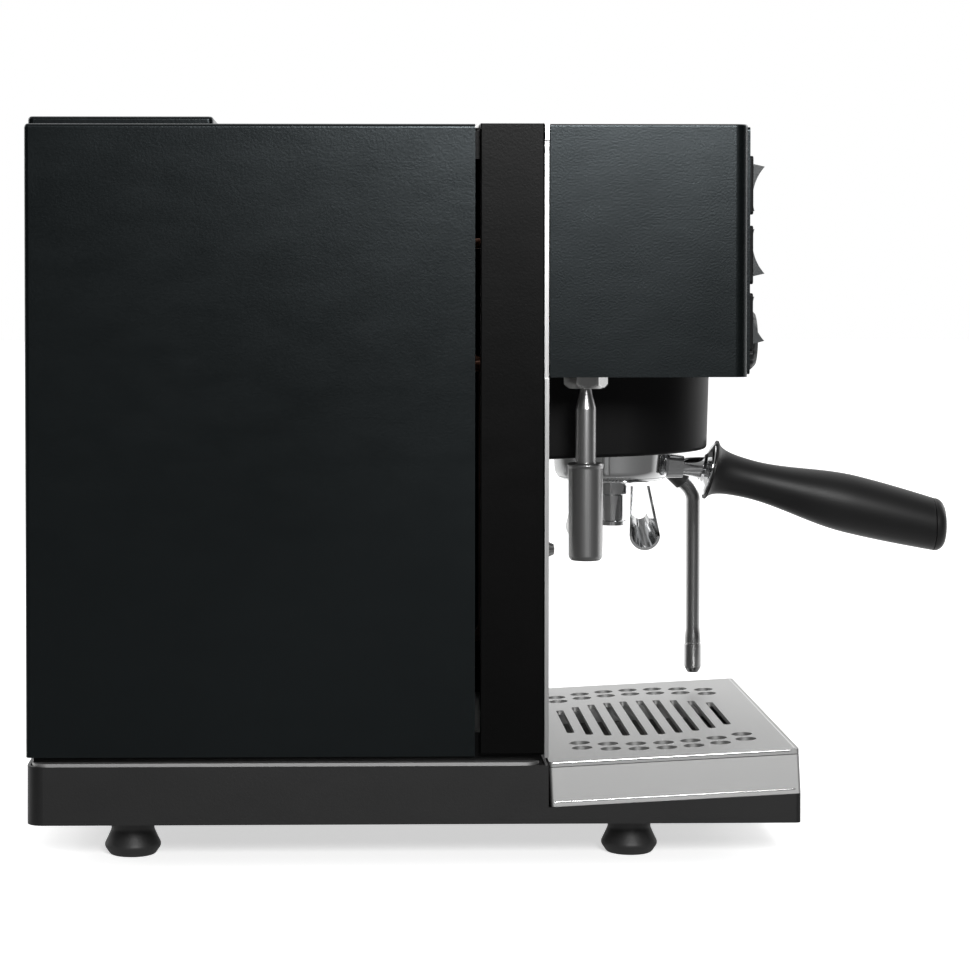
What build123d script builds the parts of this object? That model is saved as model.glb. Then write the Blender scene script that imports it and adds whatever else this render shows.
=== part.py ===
from build123d import *
import os
from math import atan, atan2, cos, degrees, radians, sin, sqrt, tan

os.makedirs("parts", exist_ok=True)

# Espresso machine. Millimetres. +Z is up, the front faces -Y and +X is the user's right.
# Every "depth" is measured forward from the flat back of the machine.

# Overall sizes
machine_width = 250.0
base_depth = 411.0
overall_depth = 513.4  # back of the body to the tip of the portafilter handle
body_top = 392.6
sheet = 1.6
moving_gap = 0.3
fit_gap = 0.05

# Feet and base
foot_height = 21.9
foot_radius = 15.6
foot_waist_radius = 11.3
foot_top_radius = 13.0
foot_inset = 35.0
foot_rear_depth = 54.0
foot_front_depth = 323.0
base_top = 52.9
base_corner = 9.0
deck_thickness = 1.7
panel_bottom = 58.0

# Side panels, corner columns, backsplash
panel_depth = 237.3
column_start = 240.2
column_end = 273.8
return_flange = 3.6
frame_half_width = machine_width / 2 - 5.6
frame_front = 272.0
splash_start = 274.3
splash_end = 276.5
splash_screw_height = 167.0

# Head
head_start = 277.0
head_end = 382.3
head_bottom = 258.8
head_bend = 7.0
front_plate_thickness = 1.5
front_plate_half_width = 117.5

# Water tank and its lid
lid_depth = 98.2
lid_height = 4.3
lid_inset = 12.0
tank_half_width = 85.0
tank_start = 12.0
tank_end = 92.0
tank_bottom = 190.0
tank_top = 386.0
tank_wall = 2.2

# Drip tray
tray_pitch = atan(0.0513)  # the tray rises gently toward the front
tray_length = 133.1
tray_half_width = 124.5
tray_height = 20.8
grid_edge = 2.7
slot_count = 10
slot_width = 4.3
slot_pitch = 9.8
slot_circle = 59.0
slot_centre_depth = 341.0
hole_count = 7
hole_radius = 5.7
hole_pitch = 14.9
hole_circle = 84.5
hole_row_gap = 15.4
hole_centre_depth = 343.5

# Brew group and portafilter
group_depth = 322.5
cover_radius = 55.0
cover_wall = 3.0
cover_draft = 1.6
cover_bottom_rear = 210.0
cover_bottom_front = 213.4
collar_outer_radius = 45.0
collar_lip_radius = 36.4
groove_radius = 41.6
groove_bottom = 221.7
groove_top = 228.0
collar_bottom = 214.5
collar_top = 240.0
ear_radius = 41.0
ear_bottom = 222.2
ear_top = 227.4
ear_half_angle = 16.0
unlock_angle = 45.0
body_radius = 34.0
body_bottom = 194.7
body_wall = 2.5
rim_height = 228.0
basket_rim = 0.8
basket_radius = 30.2
basket_bottom = 199.4

# Portafilter handle, which slopes down toward the user
handle_depth = 378.7
handle_height = 200.5
handle_slope = 13.9
flange_radius = 17.1
grip_neck_radius = 10.9
grip_belly_radius = 16.6
grip_end_radius = 14.4
cap_depth = 6.5

# Double spout
spout_boss_radius = 7.6
spout_bottom = 169.0
gutter_wall = 1.5
gutter_offset = 15.5
gutter_top = 191.5
gutter_root_half = 5.2
gutter_root_low = 171.0
gutter_lip_half = 8.7
gutter_lip_low = 157.2
gutter_lip_rise = 8.0

# Hot-water outlet
water_x = -85.0
water_depth = 299.5
nut_bottom = 251.3
nut_across_flats = 20.7
outlet_neck_radius = 2.9
outlet_radius = 5.6
sleeve_top = 210.8
sleeve_bottom = 157.8
sleeve_top_radius = 9.9
sleeve_bottom_radius = 9.25

# Steam wand
steam_x = 85.0
ball_depth = 320.0
ball_height = 251.0
ball_radius = 8.5
wand_depth = 380.1
wand_radius = 4.2
wand_bend = 13.0
tip_top = 89.0
tip_bottom = 71.4
tip_radius = 5.1
grip_sleeve_radius = 6.3

# Steam knob
knob_x = 80.0
knob_height = 272.8
knob_radius = 18.6
knob_start = 387.0
knob_end = 416.7
stem_radius = 4.0

# Rocker switches
rocker_x = -98.0
rocker_heights = (360.7, 323.5, 287.4)
rocker_width = 18.2
bezel_width = 22.0
bezel_height = 31.3
bezel_proud = 3.0
rocker_opening_height = 28.4
rocker_tilt = 13.0
rocker_reach = 8.5
rocker_half_height = 12.2
rocker_hollow = 3.2
rocker_pivot_depth = 382.1

# Display, buttons and gauge on the front plate
display_x = 4.0
display_height = 346.0
display_width = 64.0
display_tall = 26.0
button_radius = 5.0
button_spacing = 24.0
button_height = 318.0
button_travel = 1.2
gauge_x = 80.0
gauge_height = 340.0
gauge_radius = 24.0

# Boilers, pump and the rest of the water circuit
brew_boiler_radius = 33.0
brew_boiler_height = 88.0
steam_boiler_radius = 48.0
steam_boiler_length = 168.0
steam_boiler_depth = 176.0
steam_boiler_axis_height = 262.0
pump_x = 58.0
pump_depth = 150.0
pump_height = 96.0
pump_radius = 19.0
box_x = -52.0
box_depth = 150.0
pipe_radius = 3.0
inlet_x = 70.0
inlet_height = 96.0

# Values that follow from the sizes above
half_width = machine_width / 2
y_back = overall_depth / 2
front_plate_face = head_end + front_plate_thickness
slope = radians(handle_slope)


def y_at(depth):
    """Return the Y of a distance measured forward from the back."""
    return y_back - depth


def level(height):
    """Return the horizontal plane at a height above the floor."""
    return Plane.XY.offset(height)


def facing(depth):
    """Return the upright plane that looks forward at a distance from the back."""
    return Plane.XZ.offset(-y_at(depth))


def sideways(x):
    """Return the upright plane that looks to the user's right at an X."""
    return Plane.YZ.offset(x)


group_axis = Axis((0, y_at(group_depth), 0), (0, 0, 1))
water_axis = Axis((water_x, y_at(water_depth), 0), (0, 0, 1))

# ---------------------------------------------------------------- feet and base

foot_spots = [
    (side * (half_width - foot_inset), y_at(depth))
    for side in (-1, 1)
    for depth in (foot_rear_depth, foot_front_depth)
]

# Rubber foot with a rounded sole, a waist and a wider seat under the base.
with BuildPart() as feet:
    with BuildSketch(Plane.XY):
        with Locations(*foot_spots):
            Circle(foot_radius - 3.4)
    extrude(amount=5.0, taper=-degrees(atan(3.4 / 5.0)))
    with BuildSketch(level(5.0)):
        with Locations(*foot_spots):
            Circle(foot_radius)
    extrude(amount=9.0, taper=degrees(atan((foot_radius - foot_waist_radius) / 9.0)))
    with BuildSketch(level(14.0)):
        with Locations(*foot_spots):
            Circle(foot_waist_radius)
    rise = foot_height - 14.0
    extrude(amount=rise, taper=-degrees(atan((foot_top_radius - foot_waist_radius) / rise)))
feet.part.label = "feet"
export_step(feet.part, "parts/feet.step")

tray_rise = tan(tray_pitch)
rest_rear = 30.6  # height of the sloping tray rest where it meets the backsplash


def rest_height(depth):
    """Return the height of the sloping tray rest at a depth."""
    return rest_rear + (depth - splash_end) * tray_rise


# Folded sheet base, deep under the body and low under the drip tray.
with BuildPart() as base_pan:
    with BuildSketch(sideways(-half_width)):
        with BuildLine():
            Polyline(
                (y_at(0), foot_height),
                (y_at(base_depth), foot_height),
                (y_at(base_depth), rest_height(base_depth)),
                (y_at(splash_end), rest_height(splash_end)),
                (y_at(splash_end), base_top),
                (y_at(0), base_top),
                close=True,
            )
        make_face()
    extrude(amount=machine_width)
    upright = base_pan.edges().filter_by(Axis.Z)
    fillet(upright.group_by(Axis.Y)[-1], base_corner)
    fillet(base_pan.edges().filter_by(Axis.Z).group_by(Axis.Y)[0], 3.0)
    offset(amount=-sheet, openings=base_pan.faces().sort_by(Axis.Z)[-1])
    with BuildSketch(level(foot_height)):
        with GridLocations(60, 22, 2, 7):
            SlotOverall(40, 5)
    extrude(amount=sheet, mode=Mode.SUBTRACT)
base_pan.part.label = "base_pan"
export_step(base_pan.part, "parts/base_pan.step")

# Stainless deck plate that lies on the base and shows as a bright line round the body.
with BuildPart() as deck_plate:
    with BuildSketch(level(base_top)):
        with Locations((0, y_at((2.6 + frame_front) / 2))):
            RectangleRounded(machine_width - 1.0, frame_front - 2.6, base_corner - 1.0)
        with Locations((pump_x, y_at(215)), (box_x, y_at(215))):
            Circle(11.0, mode=Mode.SUBTRACT)
    extrude(amount=deck_thickness)
deck_plate.part.label = "deck_plate"
export_step(deck_plate.part, "parts/deck_plate.step")

# ---------------------------------------------------------------- body

deck_top = base_top + deck_thickness
frame_start = 3.6
frame_top = body_top - sheet - 1.8

# Box frame of folded sheet with open sides that carries the panels and the boilers.
with BuildPart() as inner_frame:
    with BuildSketch(level(deck_top)):
        with Locations((0, y_at((frame_start + frame_front) / 2))):
            Rectangle(2 * frame_half_width, frame_front - frame_start)
            Rectangle(
                2 * (frame_half_width - sheet),
                frame_front - frame_start - 2 * sheet,
                mode=Mode.SUBTRACT,
            )
    extrude(amount=frame_top - deck_top)
    with BuildSketch(sideways(0)):
        with Locations((y_at((frame_start + frame_front) / 2), (deck_top + frame_top) / 2)):
            Rectangle(frame_front - frame_start - 40, frame_top - deck_top - 30)
    extrude(amount=half_width, both=True, mode=Mode.SUBTRACT)
    with BuildSketch(facing(0)):
        with Locations((0, (deck_top + frame_top) / 2)):
            Rectangle(2 * frame_half_width - 36, frame_top - deck_top - 30)
    extrude(amount=20, mode=Mode.SUBTRACT)
    with BuildSketch(facing(frame_front - 10)):
        with Locations((0, 322), (0, 110)):
            Rectangle(2 * frame_half_width - 36, 84)
    extrude(amount=20, mode=Mode.SUBTRACT)
inner_frame.part.label = "inner_frame"
export_step(inner_frame.part, "parts/inner_frame.step")

# Side panel: one folded sheet with a rolled top edge and short returns behind its edges.
with BuildPart() as side_panel_left:
    with BuildSketch(level(panel_bottom)):
        with Locations((-half_width, y_at(panel_depth))):
            Rectangle(13.0, panel_depth, align=(Align.MIN, Align.MIN))
    extrude(amount=body_top - panel_bottom)
    fillet(side_panel_left.edges().filter_by(Axis.Z).sort_by(Axis.Y)[-2:].sort_by(Axis.X)[0], 2.4)
    outer_top = side_panel_left.faces().sort_by(Axis.Z)[-1].edges().sort_by(Axis.X)[0]
    fillet(outer_top, 2.0)
    with BuildSketch(level(panel_bottom - 1)):
        with Locations((-half_width + sheet, y_at(panel_depth - sheet))):
            Rectangle(13.0, panel_depth - 2 * sheet, align=(Align.MIN, Align.MIN))
    extrude(amount=body_top - panel_bottom + 1 - sheet, mode=Mode.SUBTRACT)
    with BuildSketch(level(panel_bottom - 1)):
        with Locations((-half_width + sheet + return_flange, y_at(panel_depth + 1))):
            Rectangle(13.0, 30.0, align=(Align.MIN, Align.MIN))
    extrude(amount=body_top - panel_bottom + 1 - sheet, mode=Mode.SUBTRACT)
side_panel_left.part.label = "side_panel_left"
export_step(side_panel_left.part, "parts/side_panel_left.step")

with BuildPart() as side_panel_right:
    add(mirror(side_panel_left.part, about=Plane.YZ, mode=Mode.PRIVATE))
side_panel_right.part.label = "side_panel_right"
export_step(side_panel_right.part, "parts/side_panel_right.step")

rear_half_width = half_width - 13.2
rear_start = 1.6

# Rear panel with three banks of cooling slots and a cut-out for the mains inlet.
with BuildPart() as rear_panel:
    with BuildSketch(facing(rear_start)):
        with Locations((0, (panel_bottom + body_top - sheet - 0.2) / 2)):
            Rectangle(2 * rear_half_width, body_top - sheet - 0.2 - panel_bottom)
        with Locations((0, 172), (0, 310)):
            with GridLocations(52, 9, 3, 7):
                SlotOverall(42, 3.6, mode=Mode.SUBTRACT)
        with Locations((inlet_x, inlet_height)):
            RectangleRounded(28, 21, 2, mode=Mode.SUBTRACT)
    extrude(amount=sheet)
rear_panel.part.label = "rear_panel"
export_step(rear_panel.part, "parts/rear_panel.step")

# Top panel: a cup-warming plate with slots at the front and the tank opening at the rear.
top_half_width = half_width - 13.2
with BuildPart() as top_panel:
    with BuildSketch(level(body_top - sheet)):
        with Locations((0, y_at((3.6 + column_end) / 2))):
            Rectangle(2 * top_half_width, column_end - 3.6)
        with Locations((0, y_at((tank_start + tank_end) / 2))):
            RectangleRounded(
                2 * tank_half_width + 6,
                tank_end - tank_start + 6,
                6,
                mode=Mode.SUBTRACT,
            )
        with Locations((0, y_at(186))):
            with GridLocations(0, 12, 1, 11):
                SlotOverall(176, 4, mode=Mode.SUBTRACT)
    extrude(amount=sheet)
top_panel.part.label = "top_panel"
export_step(top_panel.part, "parts/top_panel.step")

# Corner column: a folded channel between the side panel and the backsplash.
with BuildPart() as column_left:
    with BuildSketch(level(panel_bottom + 0.5)):
        with Locations((-half_width, y_at(column_end))):
            Rectangle(
                sheet + return_flange,
                column_end - column_start,
                align=(Align.MIN, Align.MIN),
            )
        with Locations((-half_width + sheet, y_at(column_end - sheet))):
            Rectangle(
                sheet + return_flange,
                column_end - column_start - 2 * sheet,
                align=(Align.MIN, Align.MIN),
                mode=Mode.SUBTRACT,
            )
    extrude(amount=body_top - panel_bottom - 0.3)
    chamfer(column_left.edges().filter_by(Axis.Y).group_by(Axis.X)[0].group_by(Axis.Z)[0], 1.2)
    fillet(column_left.edges().filter_by(Axis.Z).group_by(Axis.X)[0], 0.7)
    with BuildSketch(level(body_top + 0.2 - sheet)):
        with Locations((-half_width + 0.7, y_at(column_end))):
            Rectangle(12.3, column_end - column_start, align=(Align.MIN, Align.MIN))
    extrude(amount=sheet)
column_left.part.label = "column_left"
export_step(column_left.part, "parts/column_left.step")

with BuildPart() as column_right:
    add(mirror(column_left.part, about=Plane.YZ, mode=Mode.PRIVATE))
column_right.part.label = "column_right"
export_step(column_right.part, "parts/column_right.step")

splash_half_width = half_width - 0.5
splash_bottom = 56.9
notch_bottom = head_bottom - 0.7
notch_top = 384.0

# Backsplash: one stainless sheet behind the cup space, notched where the head's sides wrap it.
with BuildPart() as backsplash:
    with BuildSketch(facing(splash_start)):
        with Locations((0, (splash_bottom + body_top + 1) / 2)):
            Rectangle(2 * splash_half_width, body_top + 1 - splash_bottom)
        for side in (-1, 1):
            with Locations((side * splash_half_width, (notch_bottom + notch_top) / 2)):
                Rectangle(5.0, notch_top - notch_bottom, mode=Mode.SUBTRACT)
            with Locations((side * (half_width - 8), splash_screw_height)):
                Circle(2.0, mode=Mode.SUBTRACT)
        with Locations((0, 322)):
            Rectangle(196, 84, mode=Mode.SUBTRACT)
    extrude(amount=splash_end - splash_start)
backsplash.part.label = "backsplash"
export_step(backsplash.part, "parts/backsplash.step")

# Two domed screws that hold the backsplash.
with BuildPart() as backsplash_screws:
    for side in (-1, 1):
        with BuildSketch(facing(splash_end)):
            with Locations((side * (half_width - 8), splash_screw_height)):
                Circle(4.2)
        extrude(amount=3.4, taper=24)
        with BuildSketch(facing(splash_start - 0.4)):
            with Locations((side * (half_width - 8), splash_screw_height)):
                Circle(1.9)
        extrude(amount=splash_end - splash_start + 0.4)
    fillet(backsplash_screws.edges().group_by(Axis.Y)[0], 1.0)
backsplash_screws.part.label = "backsplash_screws"
export_step(backsplash_screws.part, "parts/backsplash_screws.step")

# ---------------------------------------------------------------- head

head_half_width = half_width - 0.6
neck_hole_radius = 40.5

# Head shell: a folded box open to the back, with rounded front uprights.
with BuildPart() as head_shell:
    with BuildSketch(level(head_bottom)):
        with Locations((0, y_at((head_start + head_end) / 2))):
            Rectangle(2 * head_half_width, head_end - head_start)
    extrude(amount=body_top - head_bottom)
    fillet(head_shell.edges().filter_by(Axis.Z).group_by(Axis.Y)[0], head_bend)
    fillet(head_shell.faces().sort_by(Axis.Z)[-1].edges().filter_by(Axis.Y), 1.2)
    offset(amount=-sheet, openings=head_shell.faces().sort_by(Axis.Y)[-1])
    with BuildSketch(level(head_bottom)):
        with Locations((0, y_at(group_depth))):
            Circle(neck_hole_radius)
        with Locations((water_x, y_at(water_depth))):
            Circle(6.4)
        with Locations((steam_x, y_at(ball_depth))):
            Circle(11.0)
    extrude(amount=sheet, mode=Mode.SUBTRACT)
    with BuildSketch(facing(head_end - sheet)):
        for height in rocker_heights:
            with Locations((rocker_x, height)):
                Rectangle(bezel_width - 2, bezel_height - 1)
        with Locations((display_x, display_height)):
            Rectangle(display_width - 4, display_tall - 4)
        for side in (-1, 1):
            with Locations((display_x + side * button_spacing / 2, button_height)):
                Circle(button_radius + 1.2)
        with Locations((gauge_x, gauge_height)):
            Circle(gauge_radius - 1.5)
        with Locations((knob_x, knob_height)):
            Circle(7.2)
    extrude(amount=sheet, mode=Mode.SUBTRACT)
    with BuildSketch(level(body_top - sheet)):
        with Locations((0, y_at((head_start + head_end) / 2))):
            with GridLocations(0, 12, 1, 6):
                SlotOverall(176, 4)
    extrude(amount=sheet, mode=Mode.SUBTRACT)
head_shell.part.label = "head_shell"
export_step(head_shell.part, "parts/head_shell.step")

# Front plate with the cut-outs for the controls.
with BuildPart() as front_plate:
    with BuildSketch(facing(head_end)):
        with Locations((0, (head_bottom + body_top) / 2)):
            RectangleRounded(2 * front_plate_half_width, body_top - head_bottom - 2.4, 2.0)
        for height in rocker_heights:
            with Locations((rocker_x, height)):
                Rectangle(bezel_width - 2, bezel_height - 1, mode=Mode.SUBTRACT)
        with Locations((display_x, display_height)):
            Rectangle(display_width - 4, display_tall - 4, mode=Mode.SUBTRACT)
        for side in (-1, 1):
            with Locations((display_x + side * button_spacing / 2, button_height)):
                Circle(button_radius + moving_gap, mode=Mode.SUBTRACT)
        with Locations((gauge_x, gauge_height)):
            Circle(gauge_radius - 1.5, mode=Mode.SUBTRACT)
        with Locations((knob_x, knob_height)):
            Circle(7.2, mode=Mode.SUBTRACT)
    extrude(amount=front_plate_thickness)
front_plate.part.label = "front_plate"
export_step(front_plate.part, "parts/front_plate.step")

# ---------------------------------------------------------------- rocker switches

# One-piece bezel and open-ended housing for each rocker.
housing_depth = 22.0
with BuildPart() as rocker_bezels:
    for height in rocker_heights:
        with BuildSketch(facing(front_plate_face)):
            with Locations((rocker_x, height)):
                RectangleRounded(bezel_width, bezel_height, 1.5)
        extrude(amount=bezel_proud)
        with BuildSketch(facing(front_plate_face - housing_depth)):
            with Locations((rocker_x, height)):
                Rectangle(bezel_width - 2.2, bezel_height - 1.2)
        extrude(amount=housing_depth)
    fillet(rocker_bezels.faces().sort_by(Axis.Y)[:3].edges(), 0.6)
    for height in rocker_heights:
        with BuildSketch(facing(front_plate_face - housing_depth + 1.5)):
            with Locations((rocker_x, height)):
                Rectangle(rocker_width + 0.6, rocker_opening_height)
        extrude(amount=housing_depth + bezel_proud, mode=Mode.SUBTRACT)
rocker_bezels.part.label = "rocker_bezels"
export_step(rocker_bezels.part, "parts/rocker_bezels.step")


def rocker_plane(height, lean):
    """Return a rocker's side plane: local X points forward, local Y up, turned by lean degrees."""
    turn = radians(lean)
    return Plane(
        origin=(rocker_x, y_at(rocker_pivot_depth), height),
        x_dir=(0, -cos(turn), -sin(turn)),
        z_dir=(-1, 0, 0),
    )


# Rocker with a hollow face between two raised ends; its top end stands out at rest.
with BuildPart() as rocker_top:
    with BuildSketch(rocker_plane(rocker_heights[0], rocker_tilt)):
        with BuildLine():
            ThreePointArc(
                (rocker_reach, rocker_half_height),
                (rocker_reach - rocker_hollow, 0),
                (rocker_reach, -rocker_half_height),
            )
            Polyline(
                (rocker_reach, -rocker_half_height),
                (rocker_reach - 7, -rocker_half_height),
                (-7, -4),
                (-7, 4),
                (rocker_reach - 7, rocker_half_height),
                (rocker_reach, rocker_half_height),
            )
        make_face()
    extrude(amount=rocker_width / 2, both=True)
rocker_top.part.label = "rocker_top"
export_step(rocker_top.part, "parts/rocker_top.step")

with BuildPart() as rocker_middle:
    with BuildSketch(rocker_plane(rocker_heights[1], -rocker_tilt)):
        with BuildLine():
            ThreePointArc(
                (rocker_reach, rocker_half_height),
                (rocker_reach - rocker_hollow, 0),
                (rocker_reach, -rocker_half_height),
            )
            Polyline(
                (rocker_reach, -rocker_half_height),
                (rocker_reach - 7, -rocker_half_height),
                (-7, -4),
                (-7, 4),
                (rocker_reach - 7, rocker_half_height),
                (rocker_reach, rocker_half_height),
            )
        make_face()
    extrude(amount=rocker_width / 2, both=True)
rocker_middle.part.label = "rocker_middle"
export_step(rocker_middle.part, "parts/rocker_middle.step")

# The lowest rocker repeats the middle one.
with BuildPart() as rocker_bottom:
    with Locations((0, 0, rocker_heights[2] - rocker_heights[1])):
        add(rocker_middle.part)
rocker_bottom.part.label = "rocker_bottom"
export_step(rocker_bottom.part, "parts/rocker_bottom.step")

# ---------------------------------------------------------------- display and buttons

with BuildPart() as display_frame:
    with BuildSketch(facing(front_plate_face)):
        with Locations((display_x, display_height)):
            RectangleRounded(display_width, display_tall, 3)
            Rectangle(display_width - 12, display_tall - 10, mode=Mode.SUBTRACT)
    extrude(amount=1.8)
    with BuildSketch(facing(front_plate_face - 9)):
        with Locations((display_x, display_height)):
            Rectangle(display_width - 4.4, display_tall - 4.4)
    extrude(amount=9)
    with BuildSketch(facing(front_plate_face - 7)):
        with Locations((display_x, display_height)):
            Rectangle(display_width - 8, display_tall - 8)
    extrude(amount=7, mode=Mode.SUBTRACT)
display_frame.part.label = "display_frame"
export_step(display_frame.part, "parts/display_frame.step")

with BuildPart() as display_lens:
    with BuildSketch(facing(front_plate_face - 1.6)):
        with Locations((display_x, display_height)):
            Rectangle(display_width - 8, display_tall - 8)
    extrude(amount=1.6)
display_lens.part.label = "display_lens"
export_step(display_lens.part, "parts/display_lens.step")

# Push button: a domed cap with a wider foot behind the front plate.
with BuildPart() as button_left:
    with BuildSketch(facing(head_end - 6)):
        with Locations((display_x - button_spacing / 2, button_height)):
            Circle(button_radius)
    extrude(amount=6 + front_plate_thickness + 2.4)
    fillet(button_left.edges().group_by(Axis.Y)[0], 0.8)
    with BuildSketch(facing(head_end - sheet - 1.8)):
        with Locations((display_x - button_spacing / 2, button_height)):
            Circle(button_radius + 2.6)
    extrude(amount=1.6)
button_left.part.label = "button_left"
export_step(button_left.part, "parts/button_left.step")

with BuildPart() as button_right:
    with Locations((button_spacing, 0, 0)):
        add(button_left.part)
button_right.part.label = "button_right"
export_step(button_right.part, "parts/button_right.step")

# ---------------------------------------------------------------- pressure gauge

gauge_back = head_end - 16
with BuildPart() as gauge_case:
    with BuildSketch(facing(gauge_back)):
        with Locations((gauge_x, gauge_height)):
            Circle(gauge_radius - 1.8)
    extrude(amount=front_plate_face - gauge_back)
    with BuildSketch(facing(front_plate_face)):
        with Locations((gauge_x, gauge_height)):
            Circle(gauge_radius)
    extrude(amount=4.0)
    fillet(gauge_case.edges().group_by(Axis.Y)[0], 1.2)
    with BuildSketch(facing(gauge_back + 2)):
        with Locations((gauge_x, gauge_height)):
            Circle(gauge_radius - 4)
    extrude(amount=30, mode=Mode.SUBTRACT)
    with BuildSketch(facing(gauge_back - 8)):
        with Locations((gauge_x, gauge_height)):
            Circle(5)
    extrude(amount=8)
gauge_case.part.label = "gauge_case"
export_step(gauge_case.part, "parts/gauge_case.step")

dial_face = front_plate_face - 3.0
with BuildPart() as gauge_dial:
    with BuildSketch(facing(dial_face - 1.0)):
        with Locations((gauge_x, gauge_height)):
            Circle(gauge_radius - 4)
            Circle(1.1, mode=Mode.SUBTRACT)
    extrude(amount=1.0)
gauge_dial.part.label = "gauge_dial"
export_step(gauge_dial.part, "parts/gauge_dial.step")

needle_rest = 225.0  # pointer direction in degrees, anticlockwise from the user's right
with BuildPart() as gauge_needle:
    with BuildSketch(facing(dial_face + 1.0)):
        with Locations((gauge_x, gauge_height)):
            Circle(2.8)
            with Locations(Rotation(0, 0, needle_rest)):
                with Locations((6.0, 0)):
                    Rectangle(20.0, 1.2)
    extrude(amount=0.7)
    with BuildSketch(facing(dial_face - 1.6)):
        with Locations((gauge_x, gauge_height)):
            Circle(0.8)
    extrude(amount=2.8)
gauge_needle.part.label = "gauge_needle"
export_step(gauge_needle.part, "parts/gauge_needle.step")

with BuildPart() as gauge_lens:
    with BuildSketch(facing(front_plate_face + 1.0)):
        with Locations((gauge_x, gauge_height)):
            Circle(gauge_radius - 4)
    extrude(amount=1.6)
gauge_lens.part.label = "gauge_lens"
export_step(gauge_lens.part, "parts/gauge_lens.step")

# ---------------------------------------------------------------- brew group

# Moulded cover with a round front, straight cheeks and a sloping lower edge.
with BuildPart() as group_cover:
    low_radius = cover_radius - (head_bottom - cover_bottom_rear) * tan(radians(cover_draft))
    with BuildSketch(level(cover_bottom_rear)):
        with Locations((0, y_at(group_depth))):
            Circle(low_radius)
        with Locations((0, y_at((head_start + group_depth) / 2))):
            Rectangle(2 * low_radius, group_depth - head_start)
    extrude(amount=head_bottom - cover_bottom_rear, taper=-cover_draft)
    with BuildSketch(sideways(0)):
        with Locations((y_at(head_start - 30), head_bottom)):
            Rectangle(60, 200)
    extrude(amount=cover_radius + 5, both=True, mode=Mode.SUBTRACT)
    with BuildSketch(sideways(0)):
        with BuildLine():
            Polyline(
                (y_at(head_start - 10), cover_bottom_rear - 20),
                (y_at(group_depth + cover_radius + 10), cover_bottom_rear - 20),
                (y_at(group_depth + cover_radius), cover_bottom_front),
                (y_at(head_start), cover_bottom_rear),
                (y_at(head_start - 10), cover_bottom_rear),
                close=True,
            )
        make_face()
    extrude(amount=cover_radius + 5, both=True, mode=Mode.SUBTRACT)
    fillet(group_cover.faces().sort_by(Axis.Z)[0].edges().filter_by(GeomType.ELLIPSE), 2.0)
    cavity_bottom = cover_bottom_front + cover_wall
    with BuildSketch(level(cavity_bottom)):
        with Locations((0, y_at(group_depth))):
            Circle(low_radius - cover_wall)
        with Locations((0, y_at((head_start + cover_wall + group_depth) / 2))):
            Rectangle(2 * (low_radius - cover_wall), group_depth - head_start - cover_wall)
    extrude(amount=head_bottom - cavity_bottom, mode=Mode.SUBTRACT)
    with BuildSketch(level(cover_bottom_rear - 5)):
        with Locations((0, y_at(group_depth))):
            Circle(collar_outer_radius + moving_gap)
    extrude(amount=15, mode=Mode.SUBTRACT)
group_cover.part.label = "group_cover"
export_step(group_cover.part, "parts/group_cover.step")

boss_radius = 28.2
# Cast group head: a broad flange with a central boss and a neck up into the boiler.
with BuildPart() as group_head:
    with BuildSketch(facing(group_depth)):
        with BuildLine():
            Polyline(
                (0, 233.6),
                (boss_radius, 233.6),
                (boss_radius, collar_top),
                (collar_outer_radius, collar_top),
                (collar_outer_radius, 256.0),
                (38.0, 258.0),
                (38.0, 268.0),
                (0, 268.0),
                close=True,
            )
        make_face()
    revolve(axis=group_axis)
    with BuildSketch(level(233.6)):
        with Locations((0, y_at(group_depth))):
            Circle(3.0)
    extrude(amount=34.4, mode=Mode.SUBTRACT)
group_head.part.label = "group_head"
export_step(group_head.part, "parts/group_head.step")


def sector(inner, outer, centre_angle, half_angle):
    """Return a ring sector about the group axis."""
    y = y_at(group_depth)
    first = radians(centre_angle - half_angle)
    middle = radians(centre_angle)
    last = radians(centre_angle + half_angle)
    with BuildSketch() as drawn:
        with BuildLine():
            Line(
                (inner * cos(first), y + inner * sin(first)),
                (outer * cos(first), y + outer * sin(first)),
            )
            ThreePointArc(
                (outer * cos(first), y + outer * sin(first)),
                (outer * cos(middle), y + outer * sin(middle)),
                (outer * cos(last), y + outer * sin(last)),
            )
            Line(
                (outer * cos(last), y + outer * sin(last)),
                (inner * cos(last), y + inner * sin(last)),
            )
            ThreePointArc(
                (inner * cos(last), y + inner * sin(last)),
                (inner * cos(middle), y + inner * sin(middle)),
                (inner * cos(first), y + inner * sin(first)),
            )
        make_face()
    return drawn.sketch


# Bayonet collar: a ring with an inner groove, entered through two slots at the unlocked angle.
with BuildPart() as bayonet_collar:
    with BuildSketch(level(collar_bottom)):
        with Locations((0, y_at(group_depth))):
            Circle(collar_outer_radius)
            Circle(collar_lip_radius, mode=Mode.SUBTRACT)
    extrude(amount=collar_top - collar_bottom)
    with BuildSketch(level(groove_bottom)):
        with Locations((0, y_at(group_depth))):
            Circle(groove_radius)
    extrude(amount=groove_top - groove_bottom, mode=Mode.SUBTRACT)
    with BuildSketch(level(collar_bottom)):
        for start in (0, 180):
            add(sector(collar_lip_radius - 4, groove_radius, start - unlock_angle, ear_half_angle + 3))
    extrude(amount=groove_bottom - collar_bottom, mode=Mode.SUBTRACT)
bayonet_collar.part.label = "bayonet_collar"
export_step(bayonet_collar.part, "parts/bayonet_collar.step")

basket_top = rim_height + basket_rim
with BuildPart() as group_gasket:
    with BuildSketch(level(basket_top + fit_gap)):
        with Locations((0, y_at(group_depth))):
            Circle(collar_lip_radius)
            Circle(boss_radius, mode=Mode.SUBTRACT)
    extrude(amount=collar_top - basket_top - fit_gap)
group_gasket.part.label = "group_gasket"
export_step(group_gasket.part, "parts/group_gasket.step")

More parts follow.
